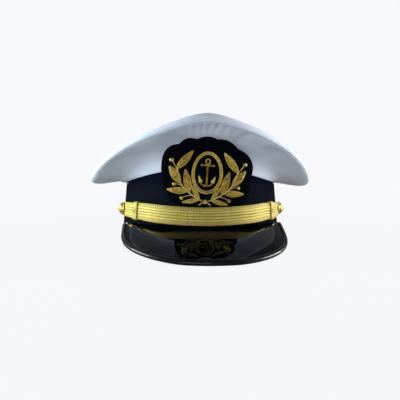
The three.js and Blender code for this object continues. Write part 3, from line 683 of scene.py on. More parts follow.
# %% Hoop
CROWN_HALF_WIDTH = 115
CROWN_FRONT_REACH = 124
CROWN_REAR_REACH = 128
CROWN_REACH = (CROWN_FRONT_REACH + CROWN_REAR_REACH) / 2
CROWN_MIDDLE = (CROWN_REAR_REACH - CROWN_FRONT_REACH) / 2
RIM_RADIUS = 5.5
RIM_FRONT_HEIGHT = 98.2
RIM_SIDE_HEIGHT = 48
RIM_REAR_HEIGHT = 62
RIGHT_WING_DROOP = 2.5
RIM_GIRTH = math.pi * (CROWN_HALF_WIDTH + CROWN_FRONT_REACH)


def rim_height(turn):
    rise = (RIM_FRONT_HEIGHT - RIM_SIDE_HEIGHT) * column(RIM_ROWS, "front", turn)
    rear = (RIM_REAR_HEIGHT - RIM_SIDE_HEIGHT) * column(RIM_ROWS, "rear", turn)
    droop = RIGHT_WING_DROOP * max(0, math.sin(math.radians(turn))) ** 4
    return RIM_SIDE_HEIGHT + rise + rear - droop


def rim_middle(turn):
    """Middle of the hoop's roll at a turn."""
    angle = math.radians(turn)
    return Vector((
        (CROWN_HALF_WIDTH - RIM_RADIUS) * math.sin(angle),
        CROWN_MIDDLE - (CROWN_REACH - RIM_RADIUS) * math.cos(angle),
        rim_height(turn),
    ))


print("the hoop rises", round(RIM_FRONT_HEIGHT - RIM_SIDE_HEIGHT, 1), "mm from the sides to the front")

# %% [markdown]
# The side cloth has a few broad folds, small gathers under the seam in front, where the pull is strongest,
# and a turned hem that stands up a little. A cloth simulation could find them, but hoop and seam fix the
# shape so well that two short tables do it, and they can be matched to the photo.

# %% Folds and gathers
def lerp(start, end, share):
    return start + (end - start) * share


def ease(value, low, high):
    """Share of the way from low to high, eased at both ends."""
    share = min(1, max(0, (value - low) / (high - low)))
    return share * share * (3 - 2 * share)


FOLD_ROWS = [
    {"turn": -50, "spread": 8, "height": -2.2},
    {"turn": -29, "spread": 5, "height": 2.2},
    {"turn": -20, "spread": 3, "height": -1.2},
    {"turn": 17, "spread": 3, "height": -1.4},
    {"turn": 27, "spread": 4.5, "height": 2.6},
    {"turn": 38, "spread": 4, "height": -1.2},
    {"turn": 52, "spread": 8, "height": -1.6},
]
GATHER_ROWS = [
    {"turn": -14, "spread": 1.6, "depth": 1.0},
    {"turn": -9, "spread": 1.3, "depth": 1.3},
    {"turn": -5, "spread": 1.1, "depth": 1.6},
    {"turn": -1.5, "spread": 1.1, "depth": 1.7},
    {"turn": 2, "spread": 1.1, "depth": 1.8},
    {"turn": 5.5, "spread": 1.3, "depth": 1.8},
    {"turn": 9.5, "spread": 1.5, "depth": 1.8},
    {"turn": 14, "spread": 1.7, "depth": 1.7},
    {"turn": 20, "spread": 2.0, "depth": 1.5},
]
GATHER_LEAN = 2
HEM_STEP = 0.35
HEM_TURNED = 4.2
SEAM_SINK = 0.25
UNEVENNESS = 0.55
PATCHES_ROUND = 5.28
PATCHES_UP = 2.86


def bumps(table, name, turn):
    """Sum of a table's rounded bumps at a turn."""
    return sum(row[name] * math.exp(-(((turn - row["turn"]) / row["spread"]) ** 2)) for row in table)


def cloth_folds(turn, share, way):
    """Height in millimetres of the folds and the rest, at a share of the way from hem to seam."""
    height = bumps(FOLD_ROWS, "height", turn) * math.sin(math.pi * share) ** 2
    gathers = bumps(GATHER_ROWS, "depth", turn - GATHER_LEAN * (share - 1))
    height -= gathers * ease(share, 0.3, 0.8) * (1 - ease(share, 0.94, 1))
    from_hem = share * way
    height += HEM_STEP * (1 - ease(from_hem, HEM_TURNED, HEM_TURNED + 0.8)) * ease(from_hem, 0, 0.8)
    from_seam = (1 - share) * way
    height -= SEAM_SINK * (1 - ease(from_seam, 0.3, 1.4))
    angle = math.radians(turn)
    spot = Vector((math.sin(angle) * PATCHES_ROUND, math.cos(angle) * PATCHES_ROUND, share * PATCHES_UP))
    return height + UNEVENNESS * noise.noise(spot) * math.sin(math.pi * share)


print("fold at 27 degrees, half way up:", round(cloth_folds(27, 0.5, 40), 2), "mm")

# %% [markdown]
# The side panel isn't a plain cone. It leaves the hem steeply in front and flatly at the sides, and bends
# round into the seam under the roll. One curve with four control places draws it in an upright cut. The cut
# is a class, because the top and the stitches need its places too.

# %% Cut through the crown
CLOTH_WALL = 1.5
HEM_OUTSIDE = BRAID_INSIDE + CLOTH_WALL
SEAM_ANGLE = -25
PANEL_ROWS = [
    {"turn": 0, "slope": 92, "hem": 0.8, "seam": 0.1},
    {"turn": 35, "slope": 84, "hem": 0.7, "seam": 0.1},
    {"turn": 60, "slope": 55, "hem": 0.5, "seam": 0.14},
    {"turn": 80, "slope": 26, "hem": 0.45, "seam": 0.18},
    {"turn": 100, "slope": 22, "hem": 0.45, "seam": 0.18},
    {"turn": 140, "slope": 40, "hem": 0.45, "seam": 0.16},
    {"turn": 180, "slope": 55, "hem": 0.45, "seam": 0.14},
]


class CrownCut:
    """Upright cut through the crown at a turn. Its x runs out from the hem and its y is the height."""

    def __init__(self, turn):
        self.turn = turn
        self.foot = band_point(turn, HEM_OUTSIDE, hem_height(turn))
        middle = rim_middle(turn)
        level = Vector((middle.x - self.foot.x, middle.y - self.foot.y, 0))
        self.out = level.normalized()
        self.rim = Vector((level.length, middle.z))
        self.hem = Vector((0, hem_height(turn)))
        seam = math.radians(SEAM_ANGLE)
        self.seam = self.rim + Vector((math.cos(seam), math.sin(seam))) * RIM_RADIUS
        way = (self.seam - self.hem).length
        slope = math.radians(column(PANEL_ROWS, "slope", turn))
        pull = way * column(PANEL_ROWS, "hem", turn)
        top = way * column(PANEL_ROWS, "seam", turn)
        self.way = way
        self.controls = (
            self.hem,
            self.hem + Vector((math.cos(slope), math.sin(slope))) * pull,
            self.seam + Vector((math.sin(seam), -math.cos(seam))) * top,
            self.seam,
        )

    def place(self, flat):
        return Vector((self.foot.x + self.out.x * flat.x, self.foot.y + self.out.y * flat.x, flat.y))

    def bare(self, share):
        """Place on the side panel's curve without its folds."""
        a, b, c, d = self.controls
        t, s = share, 1 - share
        return a * s**3 + b * (3 * s * s * t) + c * (3 * s * t * t) + d * t**3

    def panel(self, share):
        """Outer face of the side panel, the way out of it and the way up along it."""
        a, b, c, d = self.controls
        t, s = share, 1 - share
        along = ((b - a) * (s * s) + (c - b) * (2 * s * t) + (d - c) * (t * t)).normalized()
        out = Vector((along.y, -along.x))
        return self.bare(share) + out * cloth_folds(self.turn, share, self.way), out, along


front, rear = CrownCut(0), CrownCut(180)
print("from hem to seam it is", round(front.way), "mm in front and", round(rear.way), "mm behind")

# %% Side panel
PANEL_STEPS = 720
PANEL_SHARES = 30
PANEL_MAP_HEIGHT = 100


def panel_sections():
    sections = []
    for i in range(PANEL_STEPS):
        cut = CrownCut(-180 + 360 * i / PANEL_STEPS)
        sections.append([cut.place(flat) for flat in sheet_section(cut.panel, CLOTH_WALL, PANEL_SHARES)])
    return sections


side_panel = piece(
    "crown_side_panel", skin(panel_sections(), ring=True, threads=(RIM_GIRTH, PANEL_MAP_HEIGHT)),
    "white_cloth", white_twill, replaces=["crown_side"], crease=80)

# %% [markdown]
# A stretched cloth settles so that each point is the mean of those round it. For a hoop whose height is a
# sum of waves, that gives each wave its own fading towards the middle, so the top is found by a short sum
# instead of a simulation.

# %% Stretch of the top
WAVES = 7
rim_waves = []
for order in range(WAVES):
    weight = (2 if order else 1) / ROUND_STEPS
    heights = [(rim_height(turn) + RIM_RADIUS, order * math.radians(turn)) for turn in round_turns]
    rim_waves.append((
        order,
        weight * sum(height * math.cos(angle) for height, angle in heights),
        weight * sum(height * math.sin(angle) for height, angle in heights),
    ))


def top_height(turn, distance):
    """Height of the stretched top at a share of the way from its middle to the hoop."""
    angle = math.radians(turn)
    return sum(
        distance**order * (cosine * math.cos(order * angle) + sine * math.sin(order * angle))
        for order, cosine, sine in rim_waves
    )


print("the top's middle is", round(top_height(0, 0), 1), "mm above the band's edge")

# %% [markdown]
# The top goes level to the hoop and then rolls round it down to the seam. Both of its faces are drawn the
# same way, the inner one a cloth's thickness lower, and joined by a rounded edge at the seam.

# %% Crown's top
TOP_STEPS = 26
ROLL_STEPS = 14
TOP_EDGE = 0.15
RIPPLE = 0.5
RIPPLES_PER_MM = 0.035
TOP_MAP_DEPTH = 270


def top_sections():
    middle = Vector((0, CROWN_MIDDLE, 0))
    start = math.radians(SEAM_ANGLE) + CLEARANCE / RIM_RADIUS
    sections = []
    for turn in round_turns:
        cut = CrownCut(turn)
        span = lerp(CROWN_REACH, CROWN_HALF_WIDTH, math.sin(math.radians(turn)) ** 2)
        fall = math.atan((top_height(turn, 1) - top_height(turn, 0.9)) / (0.1 * span))
        end = math.pi / 2 + fall

        def rolled(share, depth, start=start, end=end, cut=cut):
            angle = lerp(end, start, share)
            radius = RIM_RADIUS - depth
            return cut.place(cut.rim + Vector((math.cos(angle), math.sin(angle))) * radius)

        def face(depth, turn=turn, rolled=rolled):
            rim = rolled(0, depth)
            mend = rim.z + depth - top_height(turn, 1)
            level = []
            for i in range(TOP_STEPS):
                distance = i / TOP_STEPS
                spot = middle.lerp(rim, distance)
                ripple = RIPPLE * noise.noise(spot * RIPPLES_PER_MM) * (1 - distance)
                height = top_height(turn, distance) + mend * distance**4 + ripple - depth
                level.append(Vector((spot.x, spot.y, height)))
            return level + [rolled(i / ROLL_STEPS, depth) for i in range(ROLL_STEPS + 1)]

        outer, inner = face(0), face(CLOTH_WALL)
        edge = outer[-1].lerp(inner[-1], 0.5) + (outer[-1] - outer[-2]).normalized() * TOP_EDGE
        sections.append(outer + [edge] + inner[::-1])
    return sections


top_panel = piece(
    "crown_top_cloth", skin(top_sections(), ring=True, looped=False, threads=(RIM_GIRTH, TOP_MAP_DEPTH)),
    "white_cloth", white_twill, replaces=["crown_top"], crease=80)
TOP_CUT = (0.243, 0.269)
math.pi / 4 * TOP_CUT[0] * TOP_CUT[1]
print("the top cloth is an oval cut to", TOP_CUT, "m")

# %% [markdown]
# ## Stitching of the crown
# The seam round the hoop is top-stitched on both sides, and the hem is sewn down a few millimetres up. Each
# stitch is a small grain of thread that sits half in the cloth. They are real grains rather than a painted
# line, so that they catch the light, and each has only a few faces because there are hundreds.

# %% Stitches along a line
STITCH_LENGTH = 2.1
STITCH_PITCH = 3.0
THREAD_RADIUS = 0.27


def stitches(places):
    """Matrices of stitches along a closed line, given as pairs of a place and the way out of the cloth."""
    made = []
    travelled = 0.0
    shaped = Matrix.Diagonal((STITCH_LENGTH / 2, THREAD_RADIUS, THREAD_RADIUS * 0.9, 1))
    for i, (place, out) in enumerate(places):
        ahead = places[(i + 1) % len(places)][0]
        step = (ahead - place).length
        along = (ahead - place).normalized()
        across = out.cross(along).normalized()
        turned = Matrix((along, across, along.cross(across))).transposed().to_4x4()
        while travelled < step:
            spot = Matrix.Translation(place.lerp(ahead, travelled / step) + out * THREAD_RADIUS * 0.3)
            made.append(spot @ turned @ shaped)
            travelled += STITCH_PITCH
        travelled -= step
    return made


print("a stitch is", STITCH_LENGTH, "mm long")

# %% Crown's stitches
SEAM_STITCH = 2.0
ROLL_STITCH = 2.2
HEM_STITCH = 3.6


def crown_line(from_hem=None, from_seam=None, on_roll=None):
    line = []
    for turn in round_turns:
        cut = CrownCut(turn)
        if on_roll is not None:
            angle = math.radians(SEAM_ANGLE) + on_roll / RIM_RADIUS
            out = Vector((math.cos(angle), math.sin(angle)))
            point = cut.rim + out * RIM_RADIUS
        else:
            share = from_hem / cut.way if from_hem else 1 - from_seam / cut.way
            point, out, along = cut.panel(share)
        line.append((cut.place(point), Vector((cut.out.x * out.x, cut.out.y * out.x, out.y))))
    return line


crown_thread = new_mesh()
for line in (
    crown_line(from_seam=SEAM_STITCH),
    crown_line(on_roll=ROLL_STITCH),
    crown_line(from_hem=HEM_STITCH),
):
    grains(crown_thread, stitches(line), 6, 4)
piece("crown_stitches", crown_thread, "white_cloth", white_thread)

# %% [markdown]
# ## Peak
# The peak is a board covered in patent leather and curved both ways. It is one skin from ribs that run from
# the band out to the free edge, whose line is known at a few turns. Its root lies just under the chin strap,
# so the strap's place is stated here.

# %% Peak's shape
STRAP_WIDTH = 16
STRAP_HEIGHT = 18
STRAP_DIP = 4.2
PEAK_WALL = 1.8
PEAK_HALF_WIDTH = 77.2
PEAK_REACH = 52
PEAK_DROP = 25.9
PEAK_CAMBER = 1.6
PEAK_RIGHT_DROOP = 1.6
PEAK_ROWS = [
    {"turn": 0, "side": 0, "forward": 1, "drop": 1},
    {"turn": 10, "side": 0.31, "forward": 0.973, "drop": 0.985},
    {"turn": 21, "side": 0.585, "forward": 0.895, "drop": 0.893},
    {"turn": 32, "side": 0.795, "forward": 0.78, "drop": 0.765},
    {"turn": 42, "side": 0.925, "forward": 0.645, "drop": 0.635},
    {"turn": 51, "side": 0.985, "forward": 0.51, "drop": 0.475},
    {"turn": 59, "side": 1, "forward": 0.39, "drop": 0.29},
    {"turn": 66, "side": 1.005, "forward": 0.29, "drop": 0.1},
]
PEAK_ROOT_HEIGHT = STRAP_HEIGHT - STRAP_DIP - STRAP_WIDTH / 2 - CLEARANCE - PEAK_WALL / 2
PEAK_END = PEAK_ROWS[-1]["turn"]


def peak_point(turn, share):
    root = band_point(turn, BRAID_OUTSIDE + CLEARANCE, PEAK_ROOT_HEIGHT)
    forward = HEAD_HALF_LENGTH + BRAID_OUTSIDE + PEAK_REACH
    droop = PEAK_RIGHT_DROOP * math.sin(math.pi * max(0, turn) / PEAK_END) ** 2
    edge = Vector((
        math.copysign(PEAK_HALF_WIDTH * column(PEAK_ROWS, "side", turn), turn),
        -forward * column(PEAK_ROWS, "forward", turn),
        PEAK_ROOT_HEIGHT - PEAK_DROP * column(PEAK_ROWS, "drop", turn) - droop,
    ))
    width = (edge - root).length
    camber = PEAK_CAMBER * min(1, width / PEAK_REACH) * math.sin(math.pi * share)
    return root.lerp(edge, share) + UP * camber


def peak_edge(turn):
    """Place at the peak's edge, the way out of the peak there and the way up off its face."""
    edge = peak_point(turn, 1)
    before, after = max(-PEAK_END, turn - 0.5), min(PEAK_END, turn + 0.5)
    along = (peak_point(after, 1) - peak_point(before, 1)).normalized()
    across = edge - peak_point(turn, 0.9)
    face = along.cross(across).normalized()
    out = face.cross(along)
    return edge, out if out.dot(across) > 0 else -out, face if face.z > 0 else -face


print("the peak reaches", PEAK_REACH, "mm forward and drops", PEAK_DROP, "mm")

# %% Peak
PEAK_COLUMNS = 160
RIB_SHARES = 22
ROOT_SHARE = 0.3
PEAK_MAP = (230, 90)
peak_turns = [PEAK_END * (2 * i / PEAK_COLUMNS - 1) for i in range(PEAK_COLUMNS + 1)]


def peak_sections():
    sections = []
    for turn in peak_turns:
        face = peak_edge(turn)[2]

        def side(way, turn=turn, face=face):
            places = []
            for k in range(RIB_SHARES + 1):
                share = k / RIB_SHARES
                normal = UP.lerp(face, ease(share, 0, ROOT_SHARE))
                places.append(peak_point(turn, share) + normal * (way * PEAK_WALL / 2))
            return places

        sections.append(side(1) + side(-1)[::-1])
    return sections


peak_skin = skin(peak_sections(), threads=PEAK_MAP, material=lambda row: 0 if row <= RIB_SHARES else 1)
piece("peak_patent", peak_skin, "patent", patent, grained_leather, replaces=["peak"], crease=60)

# %% [markdown]
# The binding is a strip of patent folded over the peak's edge. Its section is a soft hook with a round nose
# and a thin lip on either face. A bevelled tube would be quicker, but it couldn't hold the edge between its
# lips.

# %% Binding
BINDING_LAP = 3
BINDING_WALL = 1.1
LIP_ROWS = [(0, 0), (-0.1, 0.35), (0.25, 0.8), (0.8, 1)]
NOSE_STEPS = 14
NOSE_MIDDLE = -0.9
BINDING_MAP = (230, 12)


def binding_section():
    """Places round the hook: how far out from the peak's edge and how far up from its middle."""
    slot = PEAK_WALL / 2 + CLEARANCE
    nose = CLEARANCE + BINDING_WALL - NOSE_MIDDLE
    lip = [(u - BINDING_LAP, slot + v * BINDING_WALL) for u, v in LIP_ROWS]
    places = list(lip)
    for k in range(NOSE_STEPS + 1):
        angle = math.pi * (0.5 - k / NOSE_STEPS)
        places.append((NOSE_MIDDLE + nose * math.cos(angle), (slot + BINDING_WALL) * math.sin(angle)))
    places += [(u, -v) for u, v in reversed(lip)]
    return places + [(CLEARANCE, -slot), (CLEARANCE, slot)]


def binding_sections():
    sections = []
    for turn in peak_turns:
        edge, out, face = peak_edge(turn)
        sections.append([edge + out * u + face * v for u, v in binding_section()])
    return sections


piece(
    "peak_rolled_binding", skin(binding_sections(), threads=BINDING_MAP),
    "patent", rolled_patent, replaces=["peak_binding"], crease=70)

# %% [markdown]
# ## Chin strap
# The strap is gold lace in two halves that overlap across the front. Its face has flat stitched edges and
# four raised cords between them. The halves are skins that follow the band and step out over the slides and
# over the foot of the badge, so the lace's own map runs along the strap and the weave bends with it. So the
# badge's place comes first. Its foot stands on the braid, and it leans forward until the crown carries it.
# Level cuts through the crown's front show where that is.

# %% Level cuts through the crown
PAD_FOOT = 17
PAD_HEIGHT = 68
CARRYING_SHARES = (0.7, 0.8, 0.9, 1, 1.05)
CUT_TURNS = range(-60, 61, 3)
HALVINGS = 24


def level_cut(height):
    """Line on the side panel at one height, found by halving. Over the seam it follows the seam."""
    line = []
    for turn in CUT_TURNS:
        cut = CrownCut(turn)
        low, high = 0, 1
        for _ in range(HALVINGS):
            share = (low + high) / 2
            if cut.bare(share).y < height:
                low = share
            else:
                high = share
        line.append(cut.place(cut.bare(low)))
    return line


carriers = [level_cut(PAD_FOOT + share * PAD_HEIGHT) for share in CARRYING_SHARES]
print("level cuts in front are at", [round(line[len(line) // 2].z, 1) for line in carriers], "mm")

# %% Place behind the badge
PAD_HALF_WIDTH = 40
PAD_WALL = 2.6
LEAN_STEP = 6


def foot_line(x):
    """Place of the braid's face from front to back, at the height of the pad's foot."""
    foot = band_point(180, BRAID_OUTSIDE, PAD_FOOT).y
    side = band_point(90, BRAID_OUTSIDE, PAD_FOOT).x
    return -foot * math.sqrt(1 - (x / side) ** 2)


def lean_on(line, x):
    """Slope from the pad's foot to a carrying line."""
    after = next(i for i, place in enumerate(line) if place.x > x)
    a, b = line[after - 1], line[after]
    place = a.lerp(b, (x - a.x) / (b.x - a.x))
    return (place.y - foot_line(x)) / (place.z - PAD_FOOT)


lean_rows = []
for x in range(0, PAD_HALF_WIDTH + LEAN_STEP, LEAN_STEP):
    right, left = (min(lean_on(line, side * x) for line in carriers) for side in (1, -1))
    lean_rows.append({"turn": x, "lean": (right + left) / 2})


def pad_back(x, z):
    """Place that the badge's pad lies on, by its distance across and its height."""
    return Vector((x, foot_line(x) + column(lean_rows, "lean", x) * (z - PAD_FOOT), z))


def badge_point(x, z, height):
    """Place off the pad's back, so far out of it."""
    sideways = pad_back(x + 0.5, z) - pad_back(x - 0.5, z)
    upright = pad_back(x, z + 0.5) - pad_back(x, z - 0.5)
    outward = sideways.cross(upright).normalized()
    return pad_back(x, z) + outward * (CLEARANCE + height)


print("the badge leans forward", round(-lean_rows[0]["lean"], 3), "mm for each mm up")

# %% Where the strap lies
STRAP_END_WIDTH = 14
STRAP_WALL = 1.4
SLIDE_TURN = 50.5
SLIDE_WALL = 0.8
SLIDE_LAP = 5
BUTTON_TURN = 76
BUTTON_LAP = 4.5


def strap_width(turn):
    return lerp(STRAP_WIDTH, STRAP_END_WIDTH, ease(abs(turn), 35, 70))


def strap_middle(turn):
    return STRAP_HEIGHT - STRAP_DIP * max(0, math.cos(math.radians(turn))) ** 5


def pad_stand_off(turn):
    """How far the strap has to stand off the braid to clear the pad, found by halving."""
    top = strap_middle(turn) + strap_width(turn) / 2 + CLEARANCE
    limit = 0.8 * PAD_HALF_WIDTH
    x = min(limit, max(-limit, band_point(turn, BRAID_OUTSIDE, top).x))
    face = badge_point(x, top, PAD_WALL)
    near, far = 0, PAD_HALF_WIDTH
    for _ in range(HALVINGS):
        off = (near + far) / 2
        across = band_point(90, BRAID_OUTSIDE + off, top).x
        deep = band_point(180, BRAID_OUTSIDE + off, top).y
        if math.hypot(face.x / across, face.y / deep) > 1:
            near = off
        else:
            far = off
    return far + CLEARANCE


def strap_stand_off(turn, outer_half):
    """How far the inner or outer half of the strap stands off the braid."""
    near_slide = 1 - ease(abs(turn), SLIDE_TURN + SLIDE_LAP, BUTTON_TURN - BUTTON_LAP)
    base = CLEARANCE + near_slide * (SLIDE_WALL + CLEARANCE)
    front = 1 - ease(abs(turn), 28, 46)
    lift = (near_slide if turn > 0 else 1) * (STRAP_WALL + CLEARANCE) if outer_half else 0
    return max(0, pad_stand_off(turn) - base) * front + base + lift


print("strap stands", round(strap_stand_off(0, True), 2), "mm off the braid over the badge's foot")

# %% [markdown]
# The section draws the cords and the flat edges, and each half is rounded off under its button. The map says
# how far a place is along the strap and across it, so that the wire's slant and the holes follow the lace.

# %% Strap halves
LACE_STEPS = 48
CORDS = 4
CORD_ZONE = 0.62
CORD_HEIGHT = 0.42
EDGE_SINK = 0.2
STRAP_COLUMNS = 320
END_TURN = 5
END_SHARE = 0.55
MM_PER_DEGREE = 1.6


def lace_relief(up):
    """Height of the lace's face at a share of its half width: flat edges, raised cords between them."""
    if abs(up) > CORD_ZONE:
        return -EDGE_SINK - EDGE_SINK * ease(abs(up), 0.9, 1.0)
    return -CORD_HEIGHT * (1 - abs(math.sin(math.pi * CORDS * (up / CORD_ZONE + 1) / 2))) ** 1.5


def strap_sections(first, last, outer_half, button_end):
    sections = []
    for i in range(STRAP_COLUMNS + 1):
        turn = lerp(first, last, i / STRAP_COLUMNS)
        left = min(1, abs(turn - button_end) / END_TURN)
        half = strap_width(turn) / 2 * lerp(END_SHARE, 1, math.sqrt(1 - (1 - left) ** 2))
        off = BRAID_OUTSIDE + strap_stand_off(turn, outer_half)
        middle = strap_middle(turn)
        ups = [2 * k / LACE_STEPS - 1 for k in range(LACE_STEPS + 1)]
        flat = [(off + STRAP_WALL + lace_relief(up), half * up) for up in ups]
        flat += [(off + 0.3, half), (off, half * 0.97), (off, -half * 0.97), (off + 0.3, -half)]
        sections.append([band_point(turn, out, middle + rise) for out, rise in flat])
    return sections


def lace_threads(bm):
    """Writes the lace's run along the strap and its place across it, both in millimetres."""
    layer = bm.loops.layers.uv["weave"]
    for face in bm.faces:
        for loop in face.loops:
            place = loop.vert.co
            turn = math.degrees(math.atan2(place.x / HEAD_HALF_WIDTH, -place.y / HEAD_HALF_LENGTH))
            loop[layer].uv = (turn * MM_PER_DEGREE, place.z - strap_middle(turn))
    return bm


button_end = BUTTON_TURN + BUTTON_LAP
slide_end = SLIDE_TURN + SLIDE_LAP
for name, first, last, outer_half, end in (
    ("inner", -button_end, slide_end, False, -button_end),
    ("outer", -slide_end, button_end, True, button_end),
):
    lace = lace_threads(skin(strap_sections(first, last, outer_half, end)))
    piece(f"lace_strap_{name}", lace, "gold_lace", gold_lace, replaces=[f"chin_strap_{name}"], crease=60)

# %% [markdown]
# ## Slides and buttons
# A slide is a loop of the same lace that keeps both halves together. Its section goes once round the strap,
# so it is a skin that closes on itself. The buttons are turned from one profile with the spin operator, and
# each gets a fine roped rim and a small knob.

# %% Slides
SLIDE_LENGTH = 7
SLIDE_STEPS = 64
SLIDE_SHARES = 3
SLIDE_HOLLOW = 0.015
SLIDE_MAP = (44, 16)


def slide_sections(side):
    """Sections round a rounded box, each out along the slide's outer face and back along its inner one."""
    middle = side * SLIDE_TURN
    degree = (band_point(middle, BRAID_OUTSIDE, 0) - band_point(middle + 1, BRAID_OUTSIDE, 0)).length
    reach = SLIDE_LENGTH / 2 / degree
    inner = strap_stand_off(middle, False) - CLEARANCE
    outer = strap_stand_off(middle, True) + STRAP_WALL + CLEARANCE
    tall = strap_width(SLIDE_TURN - reach) / 2 + CLEARANCE
    centre = Vector(((inner + outer) / 2, 0))
    half = Vector(((outer - inner) / 2, tall))
    sections = []
    for i in range(SLIDE_STEPS):
        angle = TURN * (i + 0.5) / SLIDE_STEPS
        way = Vector((math.cos(angle), math.sin(angle)))
        near = way / max(abs(way.x) / half.x, abs(way.y) / half.y)
        far = Vector((
            near.x + math.copysign(SLIDE_WALL, near.x) * (abs(near.x) > half.x * 0.999),
            near.y + math.copysign(SLIDE_WALL, near.y) * (abs(near.y) > half.y * 0.999),
        ))
        places = []
        for wall, turned, hollow in ((far, 1, SLIDE_HOLLOW), (near, -1, 0)):
            for k in range(2 * SLIDE_SHARES + 1):
                share = turned * (k / SLIDE_SHARES - 1)
                turn = middle + share * reach
                flat = centre + wall * (1 - hollow * abs(share) ** 4 * SLIDE_WALL)
                places.append(band_point(turn, BRAID_OUTSIDE + flat.x, strap_middle(turn) + flat.y))
        sections.append(places)
    return sections


for side, name in ((-1, "left"), (1, "right")):
    slide = skin(slide_sections(side), ring=True, threads=SLIDE_MAP)
    piece(f"lace_slide_{name}", slide, "gold_lace", slide_lace, replaces=[f"strap_slide_{name}"], crease=50)

# %% Buttons
BUTTON_ROWS = [
    (1.8, -3), (1.8, 2), (5.9, 2), (6.35, 2.2), (6.6, 2.6), (6.6, 2.95), (6.35, 3.3), (5.95, 3.4),
    (5.7, 3.4), (5.6, 3.75), (5.25, 4.6), (4.65, 5.4), (3.85, 6.0), (2.9, 6.4), (1.95, 6.65), (1.45, 6.8),
    (1.5, 7.15), (1.25, 7.6), (0.7, 7.93), (0, 8),
]
BUTTON_STEPS = 48
NOTCHES = 24
NOTCH_DEPTH = 0.018
NOTCH_INSIDE = 5.7
NOTCH_FOOT = 2.4


def button_skin(side):
    bm = new_mesh()
    profile = [bm.verts.new((radius, 0, height)) for radius, height in [(0, -3)] + BUTTON_ROWS]
    edges = [bm.edges.new(pair) for pair in zip(profile, profile[1:])]
    bmesh.ops.spin(
        bm, geom=profile + edges, cent=(0, 0, 0), axis=UP, angle=TURN, steps=BUTTON_STEPS, use_merge=True)
    bmesh.ops.remove_doubles(bm, verts=bm.verts, dist=MERGE_DISTANCE)
    for vert in bm.verts:
        across = math.hypot(vert.co.x, vert.co.y)
        if NOTCH_INSIDE < across and vert.co.z > NOTCH_FOOT:
            angle = math.atan2(vert.co.y, vert.co.x)
            vert.co *= 1 - NOTCH_DEPTH * (0.5 + 0.5 * math.cos(NOTCHES * angle))
    turn = side * BUTTON_TURN
    seat = band_point(turn, BRAID_OUTSIDE, strap_middle(turn))
    along = band_point(turn + 1, BRAID_OUTSIDE, seat.z) - band_point(turn - 1, BRAID_OUTSIDE, seat.z)
    up = band_point(turn, BRAID_OUTSIDE, seat.z + 1) - band_point(turn, BRAID_OUTSIDE, seat.z - 1)
    bm.transform(Matrix.Translation(seat) @ along.cross(up).to_track_quat("Z", "Y").to_matrix().to_4x4())
    return bm


for side, name in ((-1, "left"), (1, "right")):
    piece(f"gilt_button_{name}", button_skin(side), "gilt", gilt, replaces=[f"button_{name}"], crease=50)

# %% [markdown] ## Badge pad The badge is worked on black felt over a thin padding and cut in scallops.
# Arcs between notches give the outline, and rings towards the middle give the soft dome and the rounded
# edge.

# %% Badge pad
SCALLOP_ROWS = [
    (0, 0, 0.02), (0.8, 0.1, 0.12), (0.96, 0.43, 0.25), (0.68, 0.825, 0.13), (0.22, 0.955, 0.13),
    (-0.22, 0.955, 0.17), (-0.62, 0.89, 0.2), (-0.985, 0.7, 0.06), (-0.92, 0.3, 0.13), (-0.6, 0.1, 0.02),
]
SCALLOP_STEPS = 20
PAD_RINGS = [0, 0.18, 0.36, 0.54, 0.7, 0.82, 0.89, 0.94, 0.97, 0.99, 1]
FULL_SHARE = 0.8
PAD_EDGE = 0.08
PAD_MAP = (230, 90)


def scallop_outline():
    outline = []
    for i, (side, up, bulge) in enumerate(SCALLOP_ROWS):
        start = Vector((side * PAD_HALF_WIDTH, up * PAD_HEIGHT))
        side, up, _ = SCALLOP_ROWS[(i + 1) % len(SCALLOP_ROWS)]
        way = Vector((side * PAD_HALF_WIDTH, up * PAD_HEIGHT)) - start
        out = Vector((way.y, -way.x))
        for k in range(SCALLOP_STEPS):
            share = k / SCALLOP_STEPS
            outline.append(start + way * share + out * (bulge * 4 * share * (1 - share)))
    return outline


def pad_height(share):
    """Height of the felt's face, from the full middle down to the edge."""
    if share < FULL_SHARE:
        return PAD_WALL
    return PAD_WALL * math.sqrt(max(PAD_EDGE, 1 - ((share - FULL_SHARE) / (1 - FULL_SHARE)) ** 3))


def pad_sections():
    middle = Vector((0, PAD_HEIGHT / 2))
    sections = []
    for rim in scallop_outline():
        front = [(middle.lerp(rim, share), pad_height(share)) for share in PAD_RINGS]
        back = [(middle.lerp(rim, share), 0) for share in reversed(PAD_RINGS)]
        sections.append([badge_point(flat.x, PAD_FOOT + flat.y, height) for flat, height in front + back])
    return sections


pad_skin = skin(pad_sections(), ring=True, looped=False, threads=PAD_MAP)
badge_pad = piece("felt_pad", pad_skin, "black_felt", black_felt, replaces=["badge_pad"], crease=80)

# %% [markdown]
# ## Gold embroidery
# An embroiderer lays each leaf from short lengths of coiled wire, slanting from the vein to the edge on both
# sides over a raised core, and then couches a brighter cord round it. It could be one relief with a painted
# pattern. It is laid stitch by stitch here, because the glitter of a badge comes from all those separate
# rounded lengths. Everything is drawn flat and then laid on the curved pad.

# %% Drawing on the pad
BADGE_TURN = -4
OVAL_HEIGHT = 52.7
OVAL_MIDDLE = OVAL_HEIGHT - PAD_FOOT


def lay_on_pad(bm):
    """Moves a flat drawing onto the pad: x across, y up from its foot, z off its face."""
    middle = Vector((0, OVAL_MIDDLE))
    turned = Matrix.Rotation(math.radians(BADGE_TURN), 2)
    for vert in bm.verts:
        flat = middle + turned @ (Vector(vert.co.xy) - middle)
        vert.co = badge_point(flat.x, PAD_FOOT + flat.y, PAD_WALL + CLEARANCE + vert.co.z)
    return bm


def on_pad(mirror, side, up, height=0.0):
    """Place in the flat drawing by shares of the pad's half width and height."""
    return Vector((mirror * side * PAD_HALF_WIDTH, up * PAD_HEIGHT, height))


print("the badge leans", -BADGE_TURN, "degrees")

